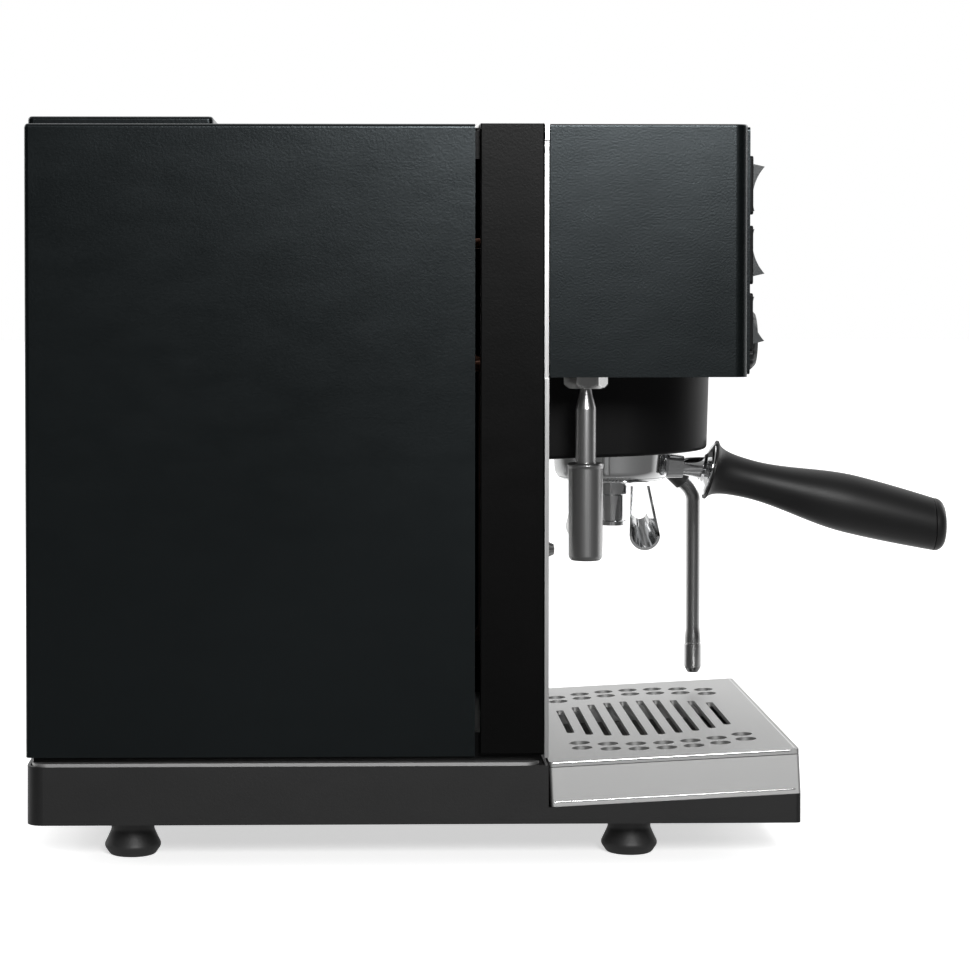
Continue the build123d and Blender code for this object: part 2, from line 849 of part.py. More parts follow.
with BuildPart() as diffuser:
    with BuildSketch(level(231.0)):
        with Locations((0, y_at(group_depth))):
            Circle(boss_radius - 1.2)
            with PolarLocations(16, 6):
                Circle(1.5, mode=Mode.SUBTRACT)
    extrude(amount=2.6)
diffuser.part.label = "diffuser"
export_step(diffuser.part, "parts/diffuser.step")

# Shower screen with three rings of holes, held by a central screw head.
with BuildPart() as shower_screen:
    with BuildSketch(level(230.0)):
        with Locations((0, y_at(group_depth))):
            Circle(boss_radius - 0.6)
            for ring, holes in ((10, 8), (16, 12), (22, 18)):
                with PolarLocations(ring, holes):
                    Circle(0.9, mode=Mode.SUBTRACT)
    extrude(amount=1.0)
    with BuildSketch(level(228.4)):
        with Locations((0, y_at(group_depth))):
            Circle(4.0)
    extrude(amount=1.6)
shower_screen.part.label = "shower_screen"
export_step(shower_screen.part, "parts/shower_screen.step")

# ---------------------------------------------------------------- portafilter

neck_plane = Plane(
    origin=(0, y_at(group_depth + body_radius - 3), 203.2),
    x_dir=(1, 0, 0),
    z_dir=(0, -cos(radians(4)), -sin(radians(4))),
)
flange_plane = Plane(
    origin=(0, y_at(handle_depth), handle_height),
    x_dir=(1, 0, 0),
    z_dir=(0, -cos(slope), -sin(slope)),
)
bore_radius = body_radius - body_wall

# Chromed cup with two bayonet ears and a faceted neck toward the handle.
with BuildPart() as portafilter:
    with BuildSketch(facing(group_depth)):
        with BuildLine():
            FilletPolyline(
                (0, body_bottom),
                (body_radius - 1.5, body_bottom),
                (body_radius, 212.0),
                (body_radius, rim_height),
                radius=(7.0, 2.0),
            )
            Polyline(
                (body_radius, rim_height),
                (0, rim_height),
                (0, body_bottom),
            )
        make_face()
    revolve(axis=group_axis)
    with BuildSketch(level(ear_bottom)):
        for start in (0, 180):
            add(sector(body_radius - 3, ear_radius, start, ear_half_angle))
    extrude(amount=ear_top - ear_bottom)
    with BuildSketch(neck_plane):
        RectangleRounded(22.0, 13.6, 3.0)
    with BuildSketch(neck_plane.offset(9.0)):
        RectangleRounded(19.0, 12.4, 3.0)
    loft()
    with BuildSketch(neck_plane.offset(8.5)):
        RectangleRounded(14.0, 9.4, 3.0)
    with BuildSketch(flange_plane.offset(-5.0)):
        Circle(6.4)
    loft()
    with BuildSketch(level(basket_bottom - 2.4)):
        with Locations((0, y_at(group_depth))):
            Circle(bore_radius)
    extrude(amount=40, mode=Mode.SUBTRACT)
    with BuildSketch(level(body_bottom - 1)):
        with Locations((0, y_at(group_depth))):
            Circle(4.0)
    extrude(amount=8, mode=Mode.SUBTRACT)
portafilter.part.label = "portafilter"
export_step(portafilter.part, "parts/portafilter.step")

# Thin pressed basket that hangs by its rim in the portafilter.
with BuildPart() as filter_basket:
    with BuildSketch(facing(group_depth)):
        with BuildLine():
            Polyline(
                (0, basket_bottom),
                (basket_radius - 2.0, basket_bottom),
                (basket_radius, basket_bottom + 8),
                (basket_radius, rim_height),
                (body_radius - 0.4, rim_height),
                (body_radius - 0.4, basket_top),
                (basket_radius - 0.7, basket_top),
                (basket_radius - 0.7, basket_bottom + 8),
                (basket_radius - 2.7, basket_bottom + 0.7),
                (0, basket_bottom + 0.7),
                close=True,
            )
        make_face()
    revolve(axis=group_axis)
    with BuildSketch(level(basket_bottom)):
        with Locations((0, y_at(group_depth))):
            for ring, holes in ((6, 8), (12, 16), (18, 24), (23.5, 30)):
                with PolarLocations(ring, holes):
                    Circle(0.7)
    extrude(amount=0.7, mode=Mode.SUBTRACT)
filter_basket.part.label = "filter_basket"
export_step(filter_basket.part, "parts/filter_basket.step")

spring_radius = (basket_radius + bore_radius) / 2
spring_wire = (bore_radius - basket_radius) / 2 - fit_gap
with BuildPart() as basket_spring:
    with BuildSketch(facing(group_depth)):
        with Locations((spring_radius, 219.0)):
            Circle(spring_wire)
    revolve(axis=group_axis, revolution_arc=330)
basket_spring.part.label = "basket_spring"
export_step(basket_spring.part, "parts/basket_spring.step")

gutter_root = -3.0
gutter_run = 27.0
gutter_mid = y_at(group_depth + gutter_offset)


def gutter_outline(half, low, top):
    """Return a U section with a round bottom, open upward."""
    with BuildSketch() as drawn:
        with BuildLine():
            Line((gutter_mid - half, top), (gutter_mid - half, low + half))
            ThreePointArc(
                (gutter_mid - half, low + half),
                (gutter_mid, low),
                (gutter_mid + half, low + half),
            )
            Line((gutter_mid + half, low + half), (gutter_mid + half, top))
            Line((gutter_mid + half, top), (gutter_mid - half, top))
        make_face()
    return drawn.sketch


def gutter_section(reach, wall, top):
    """Return the gutter's half width and lowest point at a reach from its root."""
    share = reach / gutter_run
    half = gutter_root_half + share * (gutter_lip_half - gutter_root_half)
    low = gutter_root_low + share * (gutter_lip_low - gutter_root_low)
    return gutter_outline(half - wall, low + wall, top)


# One scoop that widens as it falls away from the middle, cut off obliquely at its lip.
with BuildPart() as gutter:
    with BuildSketch(sideways(gutter_root)):
        add(gutter_section(0, 0, gutter_top))
    with BuildSketch(sideways(gutter_root - gutter_run)):
        add(gutter_section(gutter_run, 0, gutter_top))
    loft()
    with BuildSketch(sideways(gutter_root + 3)):
        add(gutter_section(-3, gutter_wall, gutter_top + 10))
    with BuildSketch(sideways(gutter_root - gutter_run - 3)):
        add(gutter_section(gutter_run + 3, gutter_wall, gutter_top + 10))
    loft(mode=Mode.SUBTRACT)
    with BuildSketch(facing(group_depth)):
        with BuildLine():
            Polyline(
                (gutter_root - 2, gutter_top),
                (gutter_root - gutter_run, gutter_lip_low + gutter_lip_rise),
                (gutter_root - gutter_run - 5, gutter_lip_low + gutter_lip_rise),
                (gutter_root - gutter_run - 5, gutter_top + 5),
                (gutter_root - 2, gutter_top + 5),
                close=True,
            )
        make_face()
    extrude(amount=60, both=True, mode=Mode.SUBTRACT)

# Double spout: a threaded boss with two open gutters that leave on opposite sides.
with BuildPart() as spout:
    with BuildSketch(facing(group_depth)):
        with BuildLine():
            Polyline(
                (0, spout_bottom),
                (spout_boss_radius + 0.5, spout_bottom),
                (spout_boss_radius + 0.5, spout_bottom + 2.2),
                (spout_boss_radius - 0.4, spout_bottom + 2.8),
                (spout_boss_radius - 0.4, 186.0),
                (spout_boss_radius + 1.4, 187.0),
                (spout_boss_radius + 1.4, body_bottom),
                (3.8, body_bottom),
                (3.8, 201.0 - 4.2),
                (0, 201.0 - 4.2),
                close=True,
            )
        make_face()
    revolve(axis=group_axis)
    add(gutter.part)
    with Locations(Location((0, 2 * y_at(group_depth), 0), (0, 0, 180))):
        add(gutter.part)
    with BuildSketch(level(spout_bottom)):
        with Locations((0, y_at(group_depth))):
            Circle(2.6)
    extrude(amount=40, mode=Mode.SUBTRACT)
spout.part.label = "spout"
export_step(spout.part, "parts/spout.step")

# Dished chrome ferrule between the neck and the grip.
with BuildPart() as handle_ferrule:
    with BuildSketch(flange_plane.offset(-5.0)):
        Circle(7.4)
    with BuildSketch(flange_plane.offset(-1.6)):
        Circle(flange_radius - 2.4)
    loft()
    with BuildSketch(flange_plane.offset(-1.6)):
        Circle(flange_radius - 2.0)
    extrude(amount=1.6)
handle_ferrule.part.label = "handle_ferrule"
export_step(handle_ferrule.part, "parts/handle_ferrule.step")

# The grip is a turned shape: flared flange, narrow neck, full belly, then an upright end.
end_depth = overall_depth
cap_start = end_depth - cap_depth
grip_side = Plane(
    origin=flange_plane.origin,
    x_dir=(0, -cos(slope), -sin(slope)),
    z_dir=(-1, 0, 0),
)
grip_axis = Axis(flange_plane.origin, (0, -cos(slope), -sin(slope)))
with BuildPart() as handle_blank:
    with BuildSketch(grip_side):
        with BuildLine():
            Polyline((0, 0), (0, flange_radius), (0.8, flange_radius))
            Bezier(
                (0.8, flange_radius),
                (2.6, grip_neck_radius + 1.7),
                (10.0, grip_neck_radius + 0.5),
                (22.0, grip_neck_radius + 0.1),
            )
            Bezier(
                (22.0, grip_neck_radius + 0.1),
                (42.0, grip_neck_radius - 0.6),
                (62.0, grip_belly_radius),
                (83.0, grip_belly_radius),
            )
            Bezier(
                (83.0, grip_belly_radius),
                (105.0, grip_belly_radius),
                (128.0, grip_end_radius + 0.6),
                (150.0, grip_end_radius - 0.9),
            )
            Polyline((150.0, grip_end_radius - 0.9), (150.0, 0), (0, 0))
        make_face()
    revolve(axis=grip_axis)

with BuildPart() as handle_grip:
    add(handle_blank.part)
    with BuildSketch(facing(cap_start)):
        with Locations((0, 170)):
            Rectangle(80, 120)
    extrude(amount=60, mode=Mode.SUBTRACT)
handle_grip.part.label = "handle_grip"
export_step(handle_grip.part, "parts/handle_grip.step")

with BuildPart() as handle_cap:
    add(handle_blank.part)
    with BuildSketch(facing(cap_start)):
        with Locations((0, 170)):
            Rectangle(80, 120)
    extrude(amount=-220, mode=Mode.SUBTRACT)
    with BuildSketch(facing(end_depth)):
        with Locations((0, 170)):
            Rectangle(80, 120)
    extrude(amount=60, mode=Mode.SUBTRACT)
    fillet(handle_cap.faces().sort_by(Axis.Y)[0].edges(), cap_depth - 0.6)
handle_cap.part.label = "handle_cap"
export_step(handle_cap.part, "parts/handle_cap.step")

# ---------------------------------------------------------------- hot-water outlet

with BuildPart() as water_nut:
    with BuildSketch(level(nut_bottom)):
        with Locations((water_x, y_at(water_depth))):
            RegularPolygon(nut_across_flats / 2, 6, major_radius=False)
            Circle(outlet_radius + 0.1, mode=Mode.SUBTRACT)
    extrude(amount=head_bottom - nut_bottom)
    chamfer(water_nut.faces().sort_by(Axis.Z)[0].edges().filter_by(GeomType.LINE), 1.0)
water_nut.part.label = "water_nut"
export_step(water_nut.part, "parts/water_nut.step")

# Outlet tube, necked down just below the nut.
with BuildPart() as water_outlet:
    with BuildSketch(facing(water_depth)):
        with BuildLine():
            Polyline(
                (water_x + 1.8, 168.0),
                (water_x + outlet_radius, 168.0),
                (water_x + outlet_radius, 240.6),
                (water_x + outlet_neck_radius + 0.6, 248.6),
                (water_x + outlet_neck_radius, nut_bottom),
                (water_x + outlet_radius, nut_bottom + 1.2),
                (water_x + outlet_radius, head_bottom + 14),
                (water_x + 1.8, head_bottom + 14),
                close=True,
            )
        make_face()
    revolve(axis=water_axis)
water_outlet.part.label = "water_outlet"
export_step(water_outlet.part, "parts/water_outlet.step")

# Slightly tapered sleeve pushed on the outlet tube.
with BuildPart() as water_sleeve:
    with BuildSketch(facing(water_depth)):
        with BuildLine():
            Polyline(
                (water_x + outlet_radius, 168.0),
                (water_x + outlet_radius, sleeve_top),
                (water_x + sleeve_top_radius - 0.8, sleeve_top),
                (water_x + sleeve_top_radius, sleeve_top - 0.8),
                (water_x + sleeve_bottom_radius, sleeve_bottom + 2.6),
                (water_x + sleeve_bottom_radius - 1.6, sleeve_bottom),
                (water_x + 6.2, sleeve_bottom),
                (water_x + 6.2, 168.0),
                close=True,
            )
        make_face()
    revolve(axis=water_axis)
water_sleeve.part.label = "water_sleeve"
export_step(water_sleeve.part, "parts/water_sleeve.step")

# ---------------------------------------------------------------- steam wand

ball_centre = Vector(steam_x, y_at(ball_depth), ball_height)
ball_axis = Axis((steam_x, y_at(ball_depth), 0), (0, 0, 1))
seat_radius = ball_radius + fit_gap

# Hexagon socket nut with an open lower mouth for the swinging wand.
nut_low = ball_height - 6.2
with BuildPart() as steam_nut:
    with BuildSketch(level(nut_low)):
        with Locations((steam_x, y_at(ball_depth))):
            RegularPolygon(14.2, 6, major_radius=False)
    extrude(amount=head_bottom - nut_low)
    chamfer(steam_nut.faces().sort_by(Axis.Z)[0].edges(), 1.4)
    with BuildSketch(level(nut_low)):
        with Locations((steam_x, y_at(ball_depth))):
            Circle(11.0)
    extrude(amount=head_bottom - nut_low, mode=Mode.SUBTRACT)
    with BuildSketch(level(nut_low)):
        with Locations((steam_x, y_at(ball_depth))):
            Circle(11.4)
            Circle(7.4, mode=Mode.SUBTRACT)
    extrude(amount=1.4)
steam_nut.part.label = "steam_nut"
export_step(steam_nut.part, "parts/steam_nut.step")

# Plastic seat ring that holds the ball and turns with it.
with BuildPart() as steam_seat:
    with BuildSketch(level(nut_low + 1.6)):
        with Locations((steam_x, y_at(ball_depth))):
            Circle(11.0 - moving_gap)
    extrude(amount=head_bottom + 2.6 - nut_low - 1.6)
    with BuildSketch(facing(ball_depth)):
        with BuildLine():
            CenterArc((steam_x, ball_height), seat_radius, -90, 180)
            Line((steam_x, ball_height + seat_radius), (steam_x, ball_height - seat_radius))
        make_face()
    revolve(axis=ball_axis, mode=Mode.SUBTRACT)
    with BuildSketch(level(nut_low - 5)):
        with Locations((steam_x, y_at(ball_depth))):
            Circle(6.9)
    extrude(amount=ball_height - nut_low + 5, mode=Mode.SUBTRACT)
    with BuildSketch(level(ball_height)):
        with Locations((steam_x, y_at(ball_depth))):
            Circle(2.6)
    extrude(amount=30, mode=Mode.SUBTRACT)
steam_seat.part.label = "steam_seat"
export_step(steam_seat.part, "parts/steam_seat.step")

shank_length = 10.3
shank_end = ball_height - shank_length
elbow_height = shank_end - (wand_depth - ball_depth)
flare_top = tip_top + 10.0

# Bent tube with the ball at its upper end and a flared lower end.
with BuildPart() as steam_wand:
    with BuildLine():
        FilletPolyline(
            (steam_x, y_at(ball_depth), ball_height),
            (steam_x, y_at(ball_depth), shank_end),
            (steam_x, y_at(wand_depth), elbow_height),
            (steam_x, y_at(wand_depth), flare_top - 1.0),
            radius=wand_bend,
        )
    with BuildSketch(level(ball_height)):
        with Locations((steam_x, y_at(ball_depth))):
            Circle(wand_radius)
    sweep()
    with Locations(ball_centre):
        Sphere(ball_radius)
    with BuildSketch(level(flare_top)):
        with Locations((steam_x, y_at(wand_depth))):
            Circle(wand_radius - 0.2)
    with BuildSketch(level(tip_top)):
        with Locations((steam_x, y_at(wand_depth))):
            Circle(tip_radius - 0.1)
    loft()
steam_wand.part.label = "steam_wand"
export_step(steam_wand.part, "parts/steam_wand.step")

wand_run = sqrt(2) * (wand_depth - ball_depth)
sleeve_plane = Plane(
    origin=(steam_x, y_at(ball_depth), shank_end),
    x_dir=(1, 0, 0),
    z_dir=(0, -1, -1),
)
# Rubber grip on the straight upper run, ribbed at both ends.
with BuildPart() as steam_sleeve:
    with BuildSketch(sleeve_plane.offset(12)):
        Circle(grip_sleeve_radius)
    extrude(amount=wand_run - 8 - 12, taper=0.8)
    for start in (12, 16, wand_run - 20):
        with BuildSketch(sleeve_plane.offset(start)):
            Circle(grip_sleeve_radius + 0.8)
        extrude(amount=2.0)
    with BuildSketch(sleeve_plane):
        Circle(wand_radius)
    extrude(amount=wand_run + 10, mode=Mode.SUBTRACT)
steam_sleeve.part.label = "steam_sleeve"
export_step(steam_sleeve.part, "parts/steam_sleeve.step")

with BuildPart() as steam_tip:
    with BuildSketch(level(tip_bottom)):
        with Locations((steam_x, y_at(wand_depth))):
            Circle(tip_radius)
    extrude(amount=tip_top - tip_bottom)
    fillet(steam_tip.edges().group_by(Axis.Z)[0], 3.4)
    with BuildSketch(level(tip_bottom - 1)):
        with Locations((steam_x, y_at(wand_depth))):
            with PolarLocations(2.6, 4):
                Circle(0.6)
    extrude(amount=8, mode=Mode.SUBTRACT)
steam_tip.part.label = "steam_tip"
export_step(steam_tip.part, "parts/steam_tip.step")

# Steam valve body behind the knob, with the stem bore through its gland.
valve_back = 330.0
with BuildPart() as steam_valve:
    with BuildSketch(facing(valve_back)):
        with Locations((knob_x, knob_height)):
            Circle(9.0)
    extrude(amount=head_end - 8 - valve_back)
    with BuildSketch(facing(head_end - 8)):
        with Locations((knob_x, knob_height)):
            RegularPolygon(9.8, 6, major_radius=False)
    extrude(amount=8 - sheet)
    with BuildSketch(facing(head_end - sheet)):
        with Locations((knob_x, knob_height)):
            Circle(6.9)
    extrude(amount=sheet + front_plate_thickness + 1.5)
    with BuildSketch(facing(head_end - 22)):
        with Locations((knob_x, knob_height)):
            Circle(stem_radius + fit_gap)
    extrude(amount=40, mode=Mode.SUBTRACT)
steam_valve.part.label = "steam_valve"
export_step(steam_valve.part, "parts/steam_valve.step")

# Fluted knob with its stem.
with BuildPart() as steam_knob:
    with BuildSketch(facing(knob_start)):
        with Locations((knob_x, knob_height)):
            Circle(knob_radius)
            with PolarLocations(knob_radius + 1.4, 16):
                Circle(2.6, mode=Mode.SUBTRACT)
    extrude(amount=knob_end - knob_start)
    with BuildSketch(facing(knob_start)):
        with Locations((knob_x, knob_height)):
            Circle(knob_radius - 1.6)
    extrude(amount=knob_end - knob_start)
    with BuildSketch(facing(head_end - 20)):
        with Locations((knob_x, knob_height)):
            Circle(stem_radius)
    extrude(amount=knob_start - head_end + 21)
steam_knob.part.label = "steam_knob"
export_step(steam_knob.part, "parts/steam_knob.step")

# ---------------------------------------------------------------- water tank

tank_middle = y_at((tank_start + tank_end) / 2)
with BuildPart() as water_tank:
    with BuildSketch(level(tank_bottom)):
        with Locations((0, tank_middle)):
            RectangleRounded(2 * tank_half_width, tank_end - tank_start, 5)
    extrude(amount=tank_top - tank_bottom)
    fillet(water_tank.edges().group_by(Axis.Z)[0], 3.0)
    offset(amount=-tank_wall, openings=water_tank.faces().sort_by(Axis.Z)[-1])
    with BuildSketch(level(tank_top - 4)):
        with Locations((0, tank_middle)):
            RectangleRounded(2 * tank_half_width + 4, tank_end - tank_start + 4, 6)
            RectangleRounded(2 * tank_half_width - 2, tank_end - tank_start - 2, 4, mode=Mode.SUBTRACT)
    extrude(amount=4)
water_tank.part.label = "water_tank"
export_step(water_tank.part, "parts/water_tank.step")

lid_half_width = half_width - lid_inset
with BuildPart() as tank_lid:
    with BuildSketch(level(body_top)):
        with Locations((0, y_at((0.8 + 0.8 + lid_depth) / 2))):
            Rectangle(2 * lid_half_width, lid_depth)
    extrude(amount=lid_height)
    fillet(tank_lid.edges().filter_by(Axis.Z), 3.0)
    fillet(tank_lid.faces().sort_by(Axis.Z)[-1].edges(), 1.8)
    with BuildSketch(level(body_top)):
        with Locations((0, y_at((0.8 + 0.8 + lid_depth) / 2))):
            Rectangle(2 * lid_half_width - 4, lid_depth - 4)
    extrude(amount=lid_height - 2.0, mode=Mode.SUBTRACT)
    with BuildSketch(level(tank_top + 0.6)):
        with Locations((0, tank_middle)):
            RectangleRounded(2 * tank_half_width - 8, tank_end - tank_start - 8, 4)
            RectangleRounded(2 * tank_half_width - 12, tank_end - tank_start - 12, 3, mode=Mode.SUBTRACT)
    extrude(amount=body_top + lid_height - 2.0 - tank_top - 0.6)
tank_lid.part.label = "tank_lid"
export_step(tank_lid.part, "parts/tank_lid.step")

# ---------------------------------------------------------------- boilers and water circuit

# Upright brew boiler bolted on the group head.
brew_bottom = 268.0
brew_top = brew_bottom + brew_boiler_height
with BuildPart() as brew_boiler:
    with BuildSketch(level(brew_bottom)):
        with Locations((0, y_at(group_depth))):
            Circle(38.0)
    extrude(amount=6)
    with BuildSketch(level(brew_bottom + 6)):
        with Locations((0, y_at(group_depth))):
            Circle(brew_boiler_radius)
    extrude(amount=brew_boiler_height - 6)
    fillet(brew_boiler.edges().group_by(Axis.Z)[-1], 8.0)
    with BuildSketch(level(brew_top - 2)):
        with Locations((0, y_at(group_depth))):
            RegularPolygon(11, 6)
    extrude(amount=8)
    offset_wall = brew_boiler_radius - 1.8
    with BuildSketch(level(brew_bottom)):
        with Locations((0, y_at(group_depth))):
            Circle(offset_wall)
    extrude(amount=brew_boiler_height - 10, mode=Mode.SUBTRACT)
brew_boiler.part.label = "brew_boiler"
export_step(brew_boiler.part, "parts/brew_boiler.step")

# Lying steam boiler with flanged end and a safety valve on top.
with BuildPart() as steam_boiler:
    with BuildSketch(sideways(-steam_boiler_length / 2)):
        with Locations((y_at(steam_boiler_depth), steam_boiler_axis_height)):
            Circle(steam_boiler_radius)
    extrude(amount=steam_boiler_length)
    fillet(steam_boiler.edges().group_by(Axis.X)[-1], 14.0)
    with BuildSketch(sideways(-steam_boiler_length / 2 - 6)):
        with Locations((y_at(steam_boiler_depth), steam_boiler_axis_height)):
            Circle(steam_boiler_radius + 6)
    extrude(amount=6)
    with BuildSketch(sideways(-steam_boiler_length / 2)):
        with Locations((y_at(steam_boiler_depth), steam_boiler_axis_height)):
            Circle(steam_boiler_radius - 1.8)
    extrude(amount=steam_boiler_length - 16, mode=Mode.SUBTRACT)
    safety_base = steam_boiler_axis_height + steam_boiler_radius - 1.0
    with BuildSketch(level(safety_base)):
        with Locations((30, y_at(steam_boiler_depth))):
            RegularPolygon(9, 6)
    extrude(amount=12)
    with BuildSketch(level(safety_base + 12)):
        with Locations((30, y_at(steam_boiler_depth))):
            Circle(6)
    extrude(amount=14)
steam_boiler.part.label = "steam_boiler"
export_step(steam_boiler.part, "parts/steam_boiler.step")

# Vibratory pump on two rubber-isolated brackets that stand on the deck plate.
pump_length = 92.0
with BuildPart() as pump:
    with BuildSketch(facing(pump_depth - pump_length / 2)):
        with Locations((pump_x, pump_height)):
            Circle(pump_radius)
    extrude(amount=pump_length)
    with BuildSketch(facing(pump_depth - 18)):
        with Locations((pump_x, pump_height)):
            Rectangle(52, 46)
    extrude(amount=36)
    with BuildSketch(facing(pump_depth + pump_length / 2)):
        with Locations((pump_x, pump_height)):
            Circle(6)
    extrude(amount=18)
    with BuildSketch(facing(pump_depth - pump_length / 2 - 14)):
        with Locations((pump_x, pump_height)):
            Circle(6)
    extrude(amount=14)
    for depth in (pump_depth - 38, pump_depth + 34):
        with BuildSketch(facing(depth)):
            with Locations((pump_x, (deck_top + pump_height) / 2)):
                Rectangle(30, pump_height - deck_top)
        extrude(amount=4)
pump.part.label = "pump"
export_step(pump.part, "parts/pump.step")

# Control box with a ribbed lid.
box_tall = 78.0
with BuildPart() as control_box:
    with BuildSketch(level(deck_top)):
        with Locations((box_x, y_at(box_depth))):
            RectangleRounded(96, 118, 5)
    extrude(amount=box_tall)
    fillet(control_box.edges().group_by(Axis.Z)[-1], 2.0)
    with BuildSketch(level(deck_top + box_tall - 1.5)):
        with Locations((box_x, y_at(box_depth))):
            with GridLocations(0, 9, 1, 10):
                SlotOverall(72, 3.2)
    extrude(amount=1.5, mode=Mode.SUBTRACT)
control_box.part.label = "control_box"
export_step(control_box.part, "parts/control_box.step")

# Two valves in the head: the brew relief valve and the hot-water valve.
with BuildPart() as valves:
    with BuildSketch(level(head_bottom + sheet)):
        with Locations((56, y_at(300))):
            Rectangle(24, 24)
    extrude(amount=22)
    with BuildSketch(level(head_bottom + sheet + 22)):
        with Locations((56, y_at(300))):
            Circle(8.5)
    extrude(amount=34)
    with BuildSketch(level(head_bottom + 14)):
        with Locations((water_x, y_at(water_depth))):
            Rectangle(24, 24)
    extrude(amount=20)
    with BuildSketch(level(head_bottom + 34)):
        with Locations((water_x, y_at(water_depth))):
            Circle(8.5)
    extrude(amount=34)
valves.part.label = "valves"
export_step(valves.part, "parts/valves.step")


def pipe_path(*points):
    """Draw a bent pipe centreline through the points."""
    return FilletPolyline(*points, radius=9.0)


# Copper pipes: pump to steam boiler, boiler to steam valve, boiler to hot-water valve.
steam_top = steam_boiler_axis_height + steam_boiler_radius
with BuildPart() as feed_pipe:
    with BuildLine() as feed_line:
        pipe_path(
            (pump_x, y_at(pump_depth + pump_length / 2 + 18), pump_height),
            (pump_x, y_at(252), pump_height),
            (pump_x, y_at(252), steam_boiler_axis_height),
            (pump_x, y_at(steam_boiler_depth + steam_boiler_radius), steam_boiler_axis_height),
        )
    with BuildSketch(Plane(origin=feed_line.line @ 0, z_dir=feed_line.line % 0)):
        Circle(pipe_radius)
    sweep()

with BuildPart() as steam_pipe:
    with BuildLine() as steam_line:
        pipe_path(
            (-10, y_at(steam_boiler_depth), steam_top),
            (-10, y_at(steam_boiler_depth), steam_top + 20),
            (-10, y_at(256), steam_top + 20),
            (knob_x, y_at(256), steam_top + 20),
            (knob_x, y_at(valve_back - 30), steam_top + 20),
            (knob_x, y_at(valve_back - 30), knob_height),
            (knob_x, y_at(valve_back), knob_height),
        )
    with BuildSketch(Plane(origin=steam_line.line @ 0, z_dir=steam_line.line % 0)):
        Circle(pipe_radius)
    sweep()

with BuildPart() as water_pipe:
    with BuildLine() as water_line:
        pipe_path(
            (-50, y_at(steam_boiler_depth + steam_boiler_radius), steam_boiler_axis_height),
            (-50, y_at(258), steam_boiler_axis_height),
            (-50, y_at(258), head_bottom + 28),
            (water_x, y_at(258), head_bottom + 28),
            (water_x, y_at(water_depth - 12), head_bottom + 28),
        )
    with BuildSketch(Plane(origin=water_line.line @ 0, z_dir=water_line.line % 0)):
        Circle(pipe_radius)
    sweep()

with BuildPart() as pipework:
    add(feed_pipe.part)
    add(steam_pipe.part)
    add(water_pipe.part)
pipework.part.label = "pipework"
export_step(pipework.part, "parts/pipework.step")

# Mains inlet socket, set in from the back; the cord is a separate product.
with BuildPart() as power_inlet:
    with BuildSketch(facing(0.3)):
        with Locations((inlet_x, inlet_height)):
            RectangleRounded(46, 24, 2)
    extrude(amount=rear_start - 0.3)
    with BuildSketch(facing(rear_start)):
        with Locations((inlet_x, inlet_height)):
            RectangleRounded(27.6, 20.6, 1.8)
    extrude(amount=22)
    with BuildSketch(facing(0)):
        with Locations((inlet_x, inlet_height)):
            RectangleRounded(23, 16, 1.5)
    extrude(amount=17, mode=Mode.SUBTRACT)
    with BuildSketch(facing(5)):
        with Locations((inlet_x, inlet_height)):
            with Locations((-7, -2), (7, -2), (0, 3)):
                Rectangle(2, 4)
    extrude(amount=13)
power_inlet.part.label = "power_inlet"
export_step(power_inlet.part, "parts/power_inlet.step")

# ---------------------------------------------------------------- drip tray

# The tray plane's local X is the machine's X and local -Y runs forward, up the pitch.
tray_back = splash_end + 0.3 + (tray_height + grid_edge + 0.4) * sin(tray_pitch)
tray_plane = Plane(
    origin=(0, y_at(tray_back), rest_height(tray_back) + 0.1),
    x_dir=(1, 0, 0),
    z_dir=(0, sin(tray_pitch), cos(tray_pitch)),
)
with BuildPart() as drip_tray:
    with BuildSketch(tray_plane):
        with Locations((0, -tray_length / 2)):
            Rectangle(2 * tray_half_width, tray_length)
    extrude(amount=tray_height)
    fillet(drip_tray.edges().filter_by(lambda e: abs((e % 0.5).Z) > 0.9), 1.6)
    offset(amount=-1.4, openings=drip_tray.faces().sort_by(Axis.Z)[-1])
drip_tray.part.label = "drip_tray"
export_step(drip_tray.part, "parts/drip_tray.step")

grid_low = tray_height + 0.4
slot_shift = (slot_centre_depth - tray_back) / cos(tray_pitch)
hole_shift = (hole_centre_depth - tray_back) / cos(tray_pitch)
# Perforated cover: slots whose ends follow a circle, and two rows of holes on each side.
with BuildPart() as drip_grid:
    with BuildSketch(tray_plane.offset(grid_low)):
        with Locations((0, -tray_length / 2)):
            Rectangle(2 * tray_half_width, tray_length)
    extrude(amount=grid_edge)
    fillet(drip_grid.edges().filter_by(lambda e: abs((e % 0.5).Z) > 0.9), 1.6)
    offset(amount=-1.2, openings=drip_grid.faces().sort_by(Axis.Z)[0])
    with BuildSketch(tray_plane.offset(grid_low)):
        for index in range(slot_count):
            along = (index - (slot_count - 1) / 2) * slot_pitch
            half_length = sqrt(slot_circle**2 - along**2)
            with Locations((0, -slot_shift - along)):
                SlotOverall(2 * half_length, slot_width)
        for index in range(hole_count):
            along = (index - (hole_count - 1) / 2) * hole_pitch
            inner_x = sqrt(hole_circle**2 - along**2)
            for side in (-1, 1):
                with Locations((side * inner_x, -hole_shift - along)):
                    Circle(hole_radius)
                with Locations((side * (inner_x + hole_row_gap), -hole_shift - along)):
                    Circle(hole_radius)
    extrude(amount=grid_edge + 1, mode=Mode.SUBTRACT)
drip_grid.part.label = "drip_grid"
export_step(drip_grid.part, "parts/drip_grid.step")
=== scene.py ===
import math

import bpy
import numpy as np
from mathutils import Matrix, Vector


